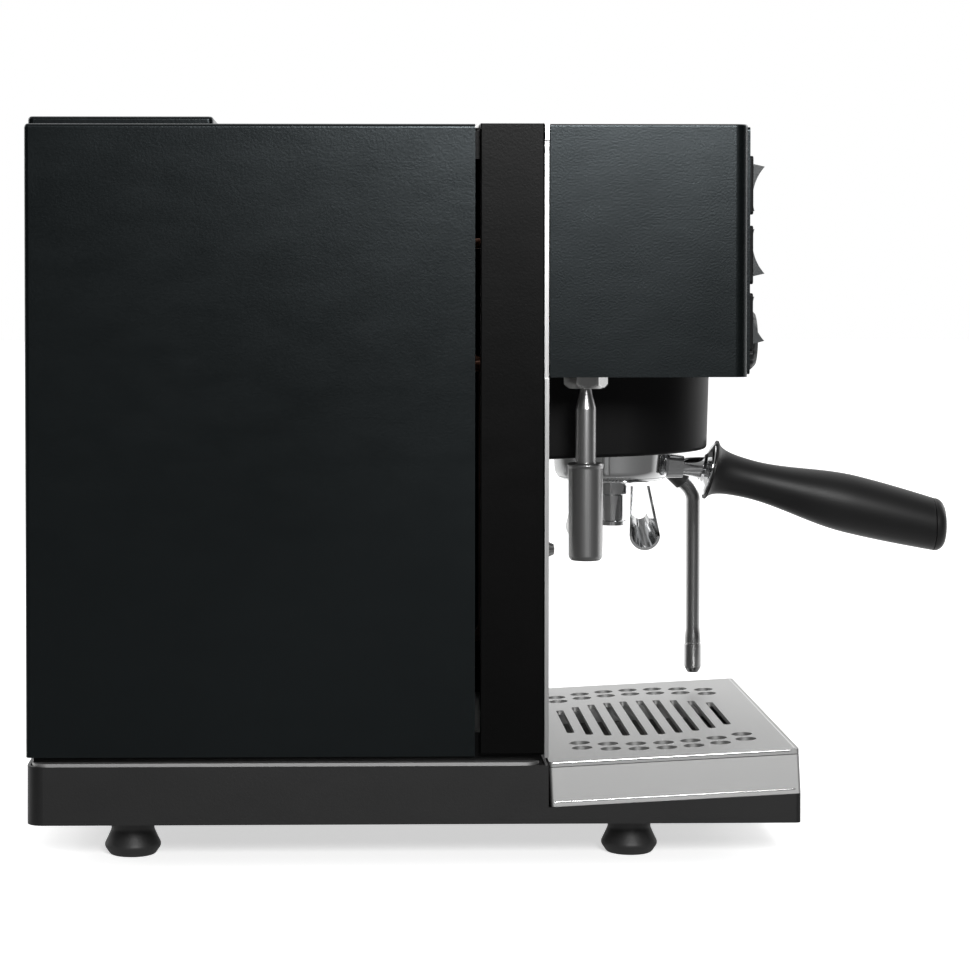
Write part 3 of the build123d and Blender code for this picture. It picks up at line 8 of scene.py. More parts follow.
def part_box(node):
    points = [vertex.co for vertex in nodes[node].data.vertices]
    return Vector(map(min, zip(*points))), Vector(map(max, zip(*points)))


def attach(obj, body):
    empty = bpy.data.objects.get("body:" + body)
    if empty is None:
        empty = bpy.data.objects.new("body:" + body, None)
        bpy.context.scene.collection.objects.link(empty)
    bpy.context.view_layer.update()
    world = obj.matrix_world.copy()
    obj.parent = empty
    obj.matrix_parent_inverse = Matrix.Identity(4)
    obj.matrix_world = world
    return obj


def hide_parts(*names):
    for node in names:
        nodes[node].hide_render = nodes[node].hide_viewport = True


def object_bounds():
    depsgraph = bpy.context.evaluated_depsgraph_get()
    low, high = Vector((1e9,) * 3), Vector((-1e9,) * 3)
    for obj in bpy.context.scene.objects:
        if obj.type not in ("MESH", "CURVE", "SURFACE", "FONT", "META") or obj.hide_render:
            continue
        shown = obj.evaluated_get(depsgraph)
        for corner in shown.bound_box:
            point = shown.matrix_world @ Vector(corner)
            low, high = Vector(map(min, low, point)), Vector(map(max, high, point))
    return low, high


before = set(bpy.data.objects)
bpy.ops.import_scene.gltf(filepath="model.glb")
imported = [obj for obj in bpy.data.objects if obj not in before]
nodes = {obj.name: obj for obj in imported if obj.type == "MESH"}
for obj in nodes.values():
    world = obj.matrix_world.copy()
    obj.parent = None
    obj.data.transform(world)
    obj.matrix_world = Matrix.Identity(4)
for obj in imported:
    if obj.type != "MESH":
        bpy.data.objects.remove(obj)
cad_low, cad_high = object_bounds()


def middle(node):
    """The centre of a CAD node's box."""
    low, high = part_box(node)
    return (low + high) / 2


# ------------------------------------------------------------------ studio
# A plain pale floor under soft light. One softbox stands up and forward of the near side, so
# the enamel is brightest at the top front and falls off toward the bottom rear.

scene = bpy.context.scene
scene.view_settings.view_transform = "Standard"

floor_mesh = bpy.data.meshes.new("floor")
floor_mesh.from_pydata([(-9, -9, 0), (9, -9, 0), (9, 9, 0), (-9, 9, 0)], [], [(0, 1, 2, 3)])
floor = bpy.data.objects.new("floor", floor_mesh)
scene.collection.objects.link(floor)


def aimed(obj, place, target):
    """Put a light or camera at a place, looking at a target."""
    obj.location = place
    obj.rotation_euler = (Vector(target) - Vector(place)).to_track_quat("-Z", "Y").to_euler()
    scene.collection.objects.link(obj)


machine_middle = (0, 0, 0.25)
for name, place, size, power in (
    ("overhead_panel", (0.35, -0.15, 1.7), 1.3, 3.0),
    ("side_softbox", (-2.0, -0.27, 0.93), 0.52, 33.0),
    ("front_panel", (1.5, -2.2, 1.1), 1.2, 14.0),
    ("rear_lamp", (1.3, 1.9, 1.1), 1.4, 20.0),
):
    lamp = bpy.data.lights.new(name, "AREA")
    lamp.shape = "DISK"
    lamp.size = size
    lamp.energy = power
    aimed(bpy.data.objects.new(name, lamp), place, machine_middle)

world = bpy.data.worlds.new("studio")
scene.world = world
world.use_nodes = True

camera_data = bpy.data.cameras.new("camera")
camera = bpy.data.objects.new("camera", camera_data)
camera_data.lens = 104.385
camera_data.sensor_width = 36.0
camera_data.sensor_fit = "HORIZONTAL"
camera_data.shift_x, camera_data.shift_y = 0.10, -0.16
camera_yaw, camera_pitch = math.radians(1.214), math.radians(1.5195)
camera_distance, camera_from_back, camera_height = 1.6070, 0.1599, 0.3231
camera_place = Vector((-camera_distance, cad_high.y - camera_from_back, camera_height))
looking = Vector((math.cos(camera_yaw), -math.sin(camera_yaw), -math.tan(camera_pitch)))
aimed(camera, camera_place, camera_place + looking)
scene.camera = camera


# ------------------------------------------------------------------ enamelled steel
# The side panels, head, lid and back are folded steel sheet with a baked satin black
# enamel. It has a faint blue-green cast, a fine orange-peel surface and soft hand marks.


class Field:
    """A node socket that can be used in arithmetic."""

    def __init__(self, finish, socket):
        self.finish, self.socket = finish, socket

    def maths(self, operation, *others):
        made = self.finish.node(
            "ShaderNodeMath", {"operation": operation}, dict(enumerate((self, *others)))
        )
        return self.finish.field(made)

    def __add__(self, other):
        return self.maths("ADD", other)

    def __radd__(self, other):
        return self.maths("ADD", other)

    def __sub__(self, other):
        return self.maths("SUBTRACT", other)

    def __rsub__(self, other):
        return self.maths("MULTIPLY", -1.0).maths("ADD", other)

    def __mul__(self, other):
        return self.maths("MULTIPLY", other)

    def __rmul__(self, other):
        return self.maths("MULTIPLY", other)


class Finish:
    """A material with one glossy shader, and short ways to add nodes to it."""

    def __init__(self, name, colour, roughness, metallic=0.0, **constants):
        self.material = bpy.data.materials.new(name)
        self.material.use_nodes = True
        self.tree = self.material.node_tree
        self.shader = self.tree.nodes["Principled BSDF"]
        values = {"Base Color": (*colour, 1.0), "Roughness": roughness, "Metallic": metallic}
        for socket, value in {**values, **constants}.items():
            self.shader.inputs[socket].default_value = value

    def node(self, kind, settings=None, values=None):
        """Add a node, set its settings, then its sockets' values or links."""
        made = self.tree.nodes.new(kind)
        for key, value in (settings or {}).items():
            if key == "stops":
                ramp = made.color_ramp
                while len(ramp.elements) < len(value):
                    ramp.elements.new(1.0)
                for element, (place, colour) in zip(ramp.elements, value):
                    element.position, element.color = place, colour
            else:
                setattr(made, key, value)
        for key, value in (values or {}).items():
            if isinstance(value, Field):
                self.tree.links.new(value.socket, made.inputs[key])
            else:
                made.inputs[key].default_value = value
        return made

    def field(self, made, output=0):
        """One output of a node, ready for arithmetic."""
        return Field(self, made.outputs[output])

    def place(self, stretch=(1, 1, 1), turn=(0, 0, 0)):
        """The piece's own coordinates in metres, stretched and turned."""
        coordinates = self.field(self.node("ShaderNodeTexCoord"), "Object")
        return self.field(
            self.node(
                "ShaderNodeMapping",
                values={"Vector": coordinates, "Scale": stretch, "Rotation": turn},
            )
        )

    def noise(self, scale, detail=3.0, stretch=(1, 1, 1), turn=(0, 0, 0)):
        """Seamless noise from 0 to 1 over the piece."""
        made = self.node(
            "ShaderNodeTexNoise",
            values={"Vector": self.place(stretch, turn), "Scale": scale, "Detail": detail},
        )
        return self.field(made, "Fac")

    def ramp(self, value, *stops):
        """Grey levels between places on a ramp."""
        made = self.node(
            "ShaderNodeValToRGB",
            {"stops": [(place, (level, level, level, 1.0)) for place, level in stops]},
            {"Fac": value},
        )
        return self.field(made)

    def blend(self, share, first, second):
        """A colour between two colours."""
        made = self.node("ShaderNodeMix", {"data_type": "RGBA"}, {0: share})
        for index, value in ((6, first), (7, second)):
            if isinstance(value, Field):
                self.tree.links.new(value.socket, made.inputs[index])
            else:
                made.inputs[index].default_value = (*value, 1.0)
        return self.field(made, 2)

    def relief(self, height, depth):
        """Raise or sink the surface by a height field, depth in metres."""
        bump = self.node("ShaderNodeBump", values={"Height": height, "Distance": depth})
        self.tree.links.new(bump.outputs[0], self.shader.inputs["Normal"])

    def axis(self, vector, name):
        """One of a vector's three parts."""
        return self.field(self.node("ShaderNodeSeparateXYZ", values={0: vector}), name)

    def feed(self, socket, value):
        """Drive one of the shader's sockets."""
        self.tree.links.new(value.socket, self.shader.inputs[socket])


def dress(finish, *names):
    """Give CAD nodes a finish in place of their plain one."""
    for name in names:
        mesh = nodes[name].data
        mesh.materials.clear()
        mesh.materials.append(finish.material)


def enamel(name, dark, light, roughness, gloss=0.5):
    """Baked enamel: fine orange peel, faint clouding in colour and gloss."""
    made = Finish(name, dark, roughness, **{"Specular IOR Level": gloss})
    cloud = made.noise(5.0, 4.0)
    grain = made.noise(900.0, 2.0)
    marks = made.noise(34.0, 6.0, (1, 1, 2.4))
    made.feed("Base Color", made.blend(made.ramp(cloud, (0.3, 0.0), (0.7, 1.0)), dark, light))
    made.feed("Roughness", cloud * 0.05 + marks * 0.06 + grain * 0.05 + (roughness - 0.08))
    made.relief(grain + marks * 0.4, 0.00004)
    return made


panel_enamel = enamel(
    "panel_enamel", (0.0008, 0.0013, 0.0013), (0.0015, 0.0022, 0.0023), 0.25, gloss=0.36
)
panel_enamel.shader.inputs["Specular Tint"].default_value = (0.84, 0.95, 1.0, 1.0)
dress(panel_enamel, "side_panel_left", "side_panel_right", "head_shell", "front_plate", "tank_lid")
dress(panel_enamel, "rear_panel")

# ------------------------------------------------------------------ paper floor and sky
# The floor is matt white paper, lit through from below as a light table is. It is dark on the
# near side to mirrored rays only, which stands in for black cloth laid beside the machine. The
# sky glows on the far side and overhead, and is plain white where it is seen straight on.

paper = Finish("paper", (0.9, 0.9, 0.9), 0.9, **{"Emission Strength": 0.6})
fibres = paper.noise(30.0)
mirrored = paper.field(paper.node("ShaderNodeLightPath"), "Is Glossy Ray")
near_edge, near_growth, near_most = 0.35, 1.6, 0.93
near_side = (near_edge - paper.axis(paper.place(), "X")) * near_growth
near_side = near_side.maths("MINIMUM", near_most).maths("MAXIMUM", 0.0)
flagged = mirrored * near_side
white = paper.blend(fibres, (0.89, 0.89, 0.89), (0.92, 0.92, 0.92))
paper.feed("Base Color", paper.blend(flagged, white, (0.02, 0.02, 0.02)))
paper.feed("Emission Color", paper.blend(flagged, (1.0, 1.0, 1.0), (0.0, 0.0, 0.0)))
paper.feed("Roughness", fibres * 0.05 + 0.88)
floor_mesh.materials.append(paper.material)

sky = world.node_tree
towards = sky.nodes.new("ShaderNodeSeparateXYZ")
sky.links.new(sky.nodes.new("ShaderNodeTexCoord").outputs["Generated"], towards.inputs[0])


def glow(axis, start, stop, least, most, easing):
    """Light that grows from least to most along one axis of the direction looked in."""
    made = sky.nodes.new("ShaderNodeMapRange")
    made.interpolation_type = easing
    sky.links.new(towards.outputs[axis], made.inputs["Value"])
    ends = {"From Min": start, "From Max": stop, "To Min": least, "To Max": most}
    for key, value in ends.items():
        made.inputs[key].default_value = value
    return made.outputs[0]


def combined(operation, first, second):
    """Two sky values put together by one operation."""
    made = sky.nodes.new("ShaderNodeMath")
    made.operation = operation
    sky.links.new(first, made.inputs[0])
    sky.links.new(second, made.inputs[1])
    return made.outputs[0]


far_glow = glow("X", -0.1, 0.7, 0.02, 1.0, "SMOOTHSTEP")
high_glow = glow("Z", 0.1, 0.9, 0.0, 0.35, "LINEAR")
seen_directly = sky.nodes.new("ShaderNodeLightPath").outputs["Is Camera Ray"]
strength = combined("MAXIMUM", combined("ADD", far_glow, high_glow), seen_directly)
sky.links.new(strength, sky.nodes["Background"].inputs["Strength"])
sky.nodes["Background"].inputs["Color"].default_value = (1.0, 1.0, 1.0, 1.0)

# ------------------------------------------------------------------ corner columns and frame
# Flat matt black sheet between the side panels and the stainless back wall; the same paint
# covers the inner frame behind the gaps.

column_paint = enamel(
    "column_paint", (0.0008, 0.0008, 0.0008), (0.0016, 0.0016, 0.0016), 0.3, gloss=0.1
)
dress(column_paint, "column_left", "column_right", "inner_frame")

# ------------------------------------------------------------------ base pan
# Deep-drawn steel pan with a coarser black powder coat.

base_coat = enamel("base_coat", (0.0032, 0.0032, 0.0033), (0.005, 0.005, 0.0052), 0.45)
dress(base_coat, "base_pan")


# ------------------------------------------------------------------ brushed stainless sheet
# The deck plate, back wall, cup warmer, grid and drip tray are stainless sheet, ground in one
# direction so that long fine scratches draw the highlights out. The tray's upward faces below the
# rim are painted near-black, a painted shade for the dark inside seen through the grid's slots.


def brushed(name, colour, roughness, across, turn=(0, 0, 0)):
    """Ground steel: its scratches are noise stretched up to two hundred times along the grain."""
    made = Finish(name, colour, roughness, 1.0)
    scratch = made.noise(1.0, 5.0, across, turn)
    fine = made.noise(2.3, 2.0, across, turn)
    cloud = made.noise(9.0, 3.0)
    tone = scratch * 0.6 + cloud * 0.4
    deep = tuple(channel * 0.86 for channel in colour)
    made.feed("Base Color", made.blend(tone, deep, colour))
    made.feed("Roughness", scratch * 0.16 + cloud * 0.05 + (roughness - 0.1))
    made.relief(scratch + fine * 0.5, 0.000018)
    return made


grain_along_x, grain_along_z = (14, 2400, 2400), (2400, 2400, 12)
tray_steel = brushed("tray_steel", (0.5, 0.5, 0.497), 0.5, grain_along_x)
basin_steel = brushed("basin_steel", (0.64, 0.64, 0.636), 0.5, grain_along_x)
basin_normal = basin_steel.field(basin_steel.node("ShaderNodeTexCoord"), "Normal")
# Painted shade: inside the tray, faces that look upward below the rim get a near-black colour that
# stands in for the shade under the grid.
upward = basin_steel.ramp(basin_steel.axis(basin_normal, "Z"), (0.55, 0.0), (0.8, 1.0))
shade_top_height = 0.049
below_rim = (shade_top_height - basin_steel.axis(basin_steel.place(), "Z")).maths("GREATER_THAN", 0.0)
painted_basin_shade = upward * below_rim * (0.9 + basin_steel.noise(60.0, 4.0) * 0.1)
unshaded_steel = basin_steel.field(basin_steel.shader.inputs["Base Color"].links[0].from_node, 2)
basin_steel.feed("Base Color", basin_steel.blend(painted_basin_shade, unshaded_steel, (0.012, 0.009, 0.007)))
wall_steel = brushed("wall_steel", (0.62, 0.62, 0.615), 0.3, grain_along_z)
dress(tray_steel, "drip_grid", "top_panel", "deck_plate")
dress(basin_steel, "drip_tray")
dress(wall_steel, "backsplash")


# ------------------------------------------------------------------ rubber feet
# Four moulded rubber feet, waisted under the base and rounded where they meet the worktop.
# They screw up into the pan.


def eased(corners, radii, steps=6):
    """A polyline whose corners are replaced by arcs of the given radii."""
    p = np.asarray(corners, float)
    out = [p[:1]]
    for before, corner, after, radius in zip(p, p[1:], p[2:], radii):
        if radius <= 0:
            out.append(corner[None])
            continue
        u = (before - corner) / np.linalg.norm(before - corner)
        v = (after - corner) / np.linalg.norm(after - corner)
        half = math.acos(max(-1.0, min(1.0, float(u @ v)))) / 2
        reach = radius / math.tan(half)
        centre = corner + (u + v) / np.linalg.norm(u + v) * (radius / math.sin(half))
        start, stop = corner + u * reach - centre, corner + v * reach - centre
        turn = math.pi - 2 * half
        t = np.linspace(0, 1, steps + 1)[:, None]
        arc = (np.sin((1 - t) * turn) * start + np.sin(t * turn) * stop) / math.sin(turn)
        out.append(centre + arc)
    out.append(p[-1:])
    return np.vstack(out)


def grid_faces(rows, columns, wrap_rows=False, wrap_columns=False):
    """Quads between the neighbours of a rows by columns grid of points."""
    i = np.arange(rows if wrap_rows else rows - 1)[:, None]
    j = np.arange(columns if wrap_columns else columns - 1)[None, :]
    right = (j + 1) % columns
    below = (i + 1) % rows
    corners = (i * columns + j, i * columns + right, below * columns + right, below * columns + j)
    return np.stack(np.broadcast_arrays(*corners), -1).reshape(-1, 4)


def piece(name, points, faces, finish, body, angle=32.0):
    """Make a piece from points and faces, turn it right side out, and let it ride a body."""
    points = np.asarray(points, float).reshape(-1, 3)
    lists = [list(map(int, face)) for face in faces]
    mesh = bpy.data.meshes.new(name)
    mesh.from_pydata(points.tolist(), [], lists)
    mesh.update()
    mesh.calc_loop_triangles()
    corners = np.zeros(len(mesh.loop_triangles) * 3, int)
    mesh.loop_triangles.foreach_get("vertices", corners)
    a, b, c = (points[corners[k::3]] for k in range(3))
    if np.einsum("ij,ij->i", a, np.cross(b, c)).sum() < 0:
        mesh.flip_normals()
    mesh.shade_smooth()
    mesh.set_sharp_from_angle(angle=math.radians(angle))
    mesh.materials.append(finish.material)
    obj = bpy.data.objects.new(name, mesh)
    scene.collection.objects.link(obj)
    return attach(obj, body)


def frame_for(direction):
    """Two unit vectors square to a direction and to each other."""
    w = np.asarray(direction, float) / np.linalg.norm(direction)
    side = np.array((1.0, 0, 0)) if abs(w[0]) < 0.9 else np.array((0, 1.0, 0))
    u = side - w * (side @ w)
    u /= np.linalg.norm(u)
    return u, np.cross(w, u), w


def turned(profile, centre, direction=(0, 0, 1), count=72, wave=None):
    """A turned shape: each profile point (radius, height) is carried round the direction.

    The radius may be multiplied by wave(angle, height). Ends on the axis become poles.
    """
    profile = np.asarray(profile, float)
    u, v, w = frame_for(direction)
    angle = np.arange(count) * 2 * math.pi / count
    ends = [abs(profile[0, 0]) < 1e-9, abs(profile[-1, 0]) < 1e-9]
    body = profile[(1 if ends[0] else 0) : (len(profile) - 1 if ends[1] else len(profile))]
    radius = body[:, 0:1] * (wave(angle[None, :], body[:, 1:2]) if wave else np.ones((1, count)))
    ring = np.cos(angle)[:, None] * u + np.sin(angle)[:, None] * v
    points = np.asarray(centre) + radius[..., None] * ring[None] + body[:, 1][:, None, None] * w
    points = points.reshape(-1, 3)
    closed = abs(profile[0] - profile[-1]).max() < 1e-9
    faces = [list(f) for f in grid_faces(len(body), count, False, True)]
    if closed:
        points = points[: -count or None]
        faces = [list(f) for f in grid_faces(len(body) - 1, count, True, True)]
    last = len(body) - 1
    for is_pole, row, height in ((ends[0], 0, profile[0, 1]), (ends[1], last, profile[-1, 1])):
        if is_pole:
            pole = len(points)
            points = np.vstack([points, np.asarray(centre) + height * w])
            first = row * count + np.arange(count)
            turn_on = row * count + (np.arange(count) + 1) % count
            order = (first, turn_on) if row else (turn_on, first)
            faces += np.stack([*order, np.full(count, pole)], -1).tolist()
    return points, faces


def joined(points, faces_lists):
    """Join several sets of points and their faces into one mesh's lists."""
    starts = np.cumsum([0] + [len(p) for p in points[:-1]])
    faces = [
        [k + int(start) for k in face]
        for start, some in zip(starts, faces_lists)
        for face in some
    ]
    return np.vstack(points), faces


foot_rubber = Finish("foot_rubber", (0.012, 0.012, 0.012), 0.55)
rubber_grain = foot_rubber.noise(700.0, 3.0)
rubber_cloud = foot_rubber.noise(60.0, 3.0)
foot_rubber.feed(
    "Base Color", foot_rubber.blend(rubber_cloud, (0.008, 0.008, 0.008), (0.02, 0.02, 0.02))
)
foot_rubber.feed("Roughness", rubber_cloud * 0.12 + rubber_grain * 0.08 + 0.42)
foot_rubber.relief(rubber_grain, 0.00008)

feet_low, feet_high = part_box("feet")
foot_radius = 0.0156
foot_line = eased(
    [
        (0, 0),
        (0.0122, 0),
        (foot_radius, 0.0050),
        (0.0135, 0.0092),
        (0.0114, 0.0140),
        (0.0130, feet_high.z),
        (0, feet_high.z),
    ],
    (0.002, 0.003, 0.004, 0.004, 0.0004),
)
feet_made = [
    turned(foot_line, (x, y, 0), count=64)
    for x in (feet_low.x + foot_radius, feet_high.x - foot_radius)
    for y in (feet_low.y + foot_radius, feet_high.y - foot_radius)
]
feet_points, feet_faces = joined(*zip(*feet_made))
feet = piece("rubber_feet", feet_points, feet_faces, foot_rubber, "machine")
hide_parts("feet")

# ------------------------------------------------------------------ group cover
# A one-piece moulding in fine-grained black plastic that hides the brew head. The switch
# bezels, display frame, buttons, inlet and control box are the same plastic.

cover_plastic = Finish("cover_plastic", (0.003, 0.003, 0.003), 0.42, **{"Specular IOR Level": 0.1})
cover_grain = cover_plastic.noise(1500.0, 2.0)
cover_cloud = cover_plastic.noise(18.0, 3.0)
cover_plastic.feed(
    "Base Color",
    cover_plastic.blend(cover_cloud, (0.0022, 0.0022, 0.0023), (0.0038, 0.0038, 0.004)),
)
cover_plastic.feed("Roughness", cover_cloud * 0.08 + cover_grain * 0.1 + 0.33)
cover_plastic.relief(cover_grain, 0.00005)
dress(cover_plastic, "group_cover", "rocker_bezels", "display_frame", "button_left", "button_right")
dress(cover_plastic, "power_inlet", "control_box")

# ------------------------------------------------------------------ chromed group and portafilter
# The group, locking collar, portafilter and spout are brass castings, polished and chromed.
# The plating mirrors everything, with hair-fine wiping marks.


def polished(name, colour, roughness):
    """Bright metal: slow clouding of the gloss and faint wiping marks."""
    made = Finish(name, colour, roughness, 1.0)
    cloud = made.noise(45.0, 3.0)
    wipe = made.noise(1.0, 4.0, (60, 900, 900), (0.3, 0.2, 0.5))
    made.feed("Base Color", made.blend(cloud, tuple(c * 0.9 for c in colour), colour))
    made.feed("Roughness", cloud * 0.05 + wipe * 0.06 + (roughness - 0.03))
    made.relief(wipe, 0.000005)
    return made


chrome = polished("chrome", (0.74, 0.745, 0.75), 0.08)
steel = polished("polished_steel", (0.56, 0.56, 0.555), 0.2)
dress(chrome, "portafilter", "spout", "group_head", "bayonet_collar")
dress(steel, "filter_basket", "basket_spring", "shower_screen", "steam_nut", "backsplash_screws")

# ------------------------------------------------------------------ hot-water outlet
# A hexagon nut holds a stainless tube that is necked down under it. A finely ground sleeve
# with a rounded lower end is pushed on the tube and steadies the flow.

water_axis = middle("water_sleeve")
nut_low, nut_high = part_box("water_nut")
sleeve_low, sleeve_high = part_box("water_sleeve")
outlet_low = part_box("water_outlet")[0]
outlet_radius, outlet_neck = 0.0056, 0.0030
neck_low, neck_high = 0.2402, 0.2482


def six_flats(across, low, chamfer):
    """The nut's radius: the smaller of the six flats and a cone that chamfers the lower end."""
    just_inside, just_outside = 0.0003, 0.0001

    def wave(angle, height):
        flat = across / 2 / np.cos((angle + math.pi / 6) % (math.pi / 3) - math.pi / 6)
        corner = across / math.sqrt(3)
        rise = np.clip((height - low) / chamfer, 0.0, 1.0)
        widest = corner + just_outside
        narrowest = across / 2 - just_inside
        cone = narrowest + (widest - narrowest) * rise
        return np.minimum(flat, cone)

    return wave


nut_across, nut_chamfer = nut_high.y - nut_low.y, 0.0022
nut_line = [(0, nut_low.z)]
nut_line += [(1, nut_low.z + nut_chamfer * k / 4) for k in range(5)]
nut_line += [(1, nut_high.z), (0, nut_high.z)]
nut_points, nut_faces = turned(
    nut_line,
    (water_axis.x, water_axis.y, 0),
    count=144,
    wave=six_flats(nut_across, nut_low.z, nut_chamfer),
)
water_nut = piece("outlet_nut", nut_points, nut_faces, steel, "machine", angle=18)
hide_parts("water_nut")

tube_line = eased(
    [
        (0, outlet_low.z + 0.001),
        (outlet_radius, outlet_low.z + 0.001),
        (outlet_radius, neck_low),
        (outlet_neck + 0.0006, neck_high),
        (outlet_neck, nut_low.z + 0.0004),
        (0, nut_low.z + 0.0004),
    ],
    (0.0002, 0.004, 0.004, 0),
)
tube_steel = brushed("tube_steel", (0.45, 0.45, 0.45), 0.3, grain_along_z)
tube_points, tube_faces = turned(tube_line, (water_axis.x, water_axis.y, 0), count=64)
water_tube = piece("outlet_tube", tube_points, tube_faces, tube_steel, "machine")
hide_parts("water_outlet")

sleeve_line = eased(
    [
        (0.0060, sleeve_high.z - 0.016),
        (0.0060, sleeve_high.z - 0.0006),
        (0.0091, sleeve_high.z),
        (0.0099, sleeve_high.z - 0.0012),
        (0.0094, sleeve_high.z - 0.0030),
        (0.00925, sleeve_low.z + 0.0016),
        (0.0078, sleeve_low.z),
        (0.0064, sleeve_low.z),
        (0.0062, sleeve_low.z + 0.012),
        (0, sleeve_low.z + 0.012),
    ],
    (0.0004, 0.0006, 0.0006, 0.0008, 0.003, 0.0007, 0.0005, 0.0004),
)
sleeve_points, sleeve_faces = turned(sleeve_line, (water_axis.x, water_axis.y, 0), count=96)
sleeve_steel = brushed("sleeve_steel", (0.38, 0.38, 0.38), 0.3, grain_along_z)
water_sleeve = piece("outlet_sleeve", sleeve_points, sleeve_faces, sleeve_steel, "machine")
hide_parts("water_sleeve")

# ------------------------------------------------------------------ steam wand
# A bent stainless tube hangs from a ball joint and flares into a rounded nozzle. A rubber
# sleeve with three ribs covers the sloping run, so that the hot tube can be moved by hand.

seat_axis = middle("steam_seat")
wand_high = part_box("steam_wand")[1]
tip_low, tip_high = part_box("steam_tip")
tip_axis = middle("steam_tip")
ball_radius = 0.0085
ball = np.array((seat_axis.x, seat_axis.y, wand_high.z - ball_radius))
shank_length = 0.0103
run_top = ball[2] - shank_length
elbow = run_top - (ball[1] - tip_axis.y)
wand_path = eased(
    [
        ball,
        (ball[0], ball[1], run_top),
        (ball[0], tip_axis.y, elbow),
        (ball[0], tip_axis.y, tip_low.z),
    ],
    (0.013, 0.013),
    24,
)


def piped(path, radii, count=40):
    """A tube along a path in one plane: rings square to the path, with a radius at each point."""
    path = np.asarray(path, float)
    along = np.gradient(path, axis=0)
    along /= np.linalg.norm(along, axis=1)[:, None]
    side = np.broadcast_to(np.array((1.0, 0, 0)), path.shape)
    up = np.cross(along, side)
    angle = np.arange(count) * 2 * math.pi / count
    ring = np.cos(angle)[None, :, None] * side[:, None] + np.sin(angle)[None, :, None] * up[:, None]
    points = path[:, None] + np.asarray(radii)[:, None, None] * ring
    faces = grid_faces(len(path), count, False, True).tolist()
    faces += [list(range(count))[::-1], [(len(path) - 1) * count + k for k in range(count)]]
    return points.reshape(-1, 3), faces


steps = np.linalg.norm(np.diff(wand_path, axis=0), axis=1)
distance = np.concatenate([[0], np.cumsum(steps)])
stations = np.unique(np.concatenate([distance, distance[-1] - np.linspace(0, 0.032, 24)]))
line = np.stack([np.interp(stations, distance, wand_path[:, k]) for k in range(3)], -1)
line = line[line[:, 2] > tip_high.z - 0.0004]
wand_radius, flare_gain, flare_length, flare_limit = 0.0042, 0.00075, 0.0105, 0.13
flare = np.clip((tip_high.z + flare_length - line[:, 2]) / flare_length, 0, 1)
flare = np.where(line[:, 2] < flare_limit, flare * flare * (3 - 2 * flare), 0)
wand_points, wand_faces = piped(line, wand_radius + flare_gain * flare)
ball_line = [
    (0, -ball_radius),
    *((ball_radius * math.cos(t), ball_radius * math.sin(t)) for t in np.linspace(-1.4, 1.4, 24)),
    (0, ball_radius),
]
ball_points, ball_faces = turned(ball_line, ball, count=48)
wand_points, wand_faces = joined([wand_points, ball_points], [wand_faces, ball_faces])
wand_steel = brushed("wand_steel", (0.36, 0.36, 0.36), 0.24, (2000, 2000, 10))
wand = piece("wand_tube", wand_points, wand_faces, wand_steel, "wand")
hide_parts("steam_wand")

tip_line = eased(
    [
        (0, tip_low.z),
        (0.0032, tip_low.z),
        (0.0051, tip_low.z + 0.0034),
        (0.0051, tip_high.z - 0.0006),
        (0.0047, tip_high.z - 0.0003),
        (0.0047, tip_high.z - 0.00005),
        (0, tip_high.z - 0.00005),
    ],
    (0.0008, 0.003, 0.0003, 0.0001, 0.0001),
)
tip_points, tip_faces = turned(tip_line, (tip_axis.x, tip_axis.y, 0), count=56)
tip = piece("wand_nozzle", tip_points, tip_faces, wand_steel, "wand")
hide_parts("steam_tip")

slope_run = math.sqrt(2) * (ball[1] - tip_axis.y)
down = np.array((0, -1.0, -1.0)) / math.sqrt(2)
sleeve_start, rib_width, rib_height = 0.012, 0.0009, 0.0007
sleeve_stations = np.linspace(sleeve_start, slope_run - 0.008, 150)
rib = sum(
    np.exp(-(((sleeve_stations - at) / rib_width) ** 2))
    for at in (0.0135, 0.0175, slope_run - 0.019)
)
sleeve_share = (sleeve_stations - sleeve_start) / (slope_run - 0.02)
sleeve_radius = 0.0063 - 0.0009 * sleeve_share + rib_height * rib
sleeve_radius[[0, -1]] = 0.0044
sleeve_radius[[1, -2]] -= 0.0003
start = np.array((ball[0], ball[1], run_top))
rubber_points, rubber_faces = piped(start + sleeve_stations[:, None] * down, sleeve_radius, 48)
rubber_sleeve = piece("wand_rubber_sleeve", rubber_points, rubber_faces, foot_rubber, "wand")
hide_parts("steam_sleeve")
dress(foot_rubber, "steam_seat", "group_gasket")

# ------------------------------------------------------------------ portafilter handle
# The grip is moulded in soft-touch black plastic with a flared collar and a full belly. A
# separate end cap closes it along an upright seam, and a dished chrome ferrule leads it.

grip_plastic = Finish("grip_plastic", (0.02, 0.02, 0.0205), 0.5, **{"Specular IOR Level": 0.28})
grip_grain = grip_plastic.noise(1300.0, 2.0)
grip_cloud = grip_plastic.noise(22.0, 4.0)
grip_plastic.feed(
    "Base Color", grip_plastic.blend(grip_cloud, (0.004, 0.004, 0.0041), (0.007, 0.007, 0.0072))
)
grip_plastic.feed("Roughness", grip_cloud * 0.1 + grip_grain * 0.08 + 0.36)
grip_plastic.relief(grip_grain, 0.00005)

handle_slope = math.radians(13.9)
handle_way = np.array((0, -math.cos(handle_slope), -math.sin(handle_slope)))
cap_low, cap_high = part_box("handle_cap")
handle_start = np.array((0, cad_high.y - 0.3787, 0.2005))
end_radius = 0.0142


def bent(p0, p1, p2, p3, count=26):
    """A cubic curve between two points, drawn toward two others."""
    t = np.linspace(0, 1, count)[:, None]
    p0, p1, p2, p3 = map(np.asarray, (p0, p1, p2, p3))
    return (1 - t) ** 3 * p0 + 3 * (1 - t) ** 2 * t * p1 + 3 * (1 - t) * t**2 * p2 + t**3 * p3


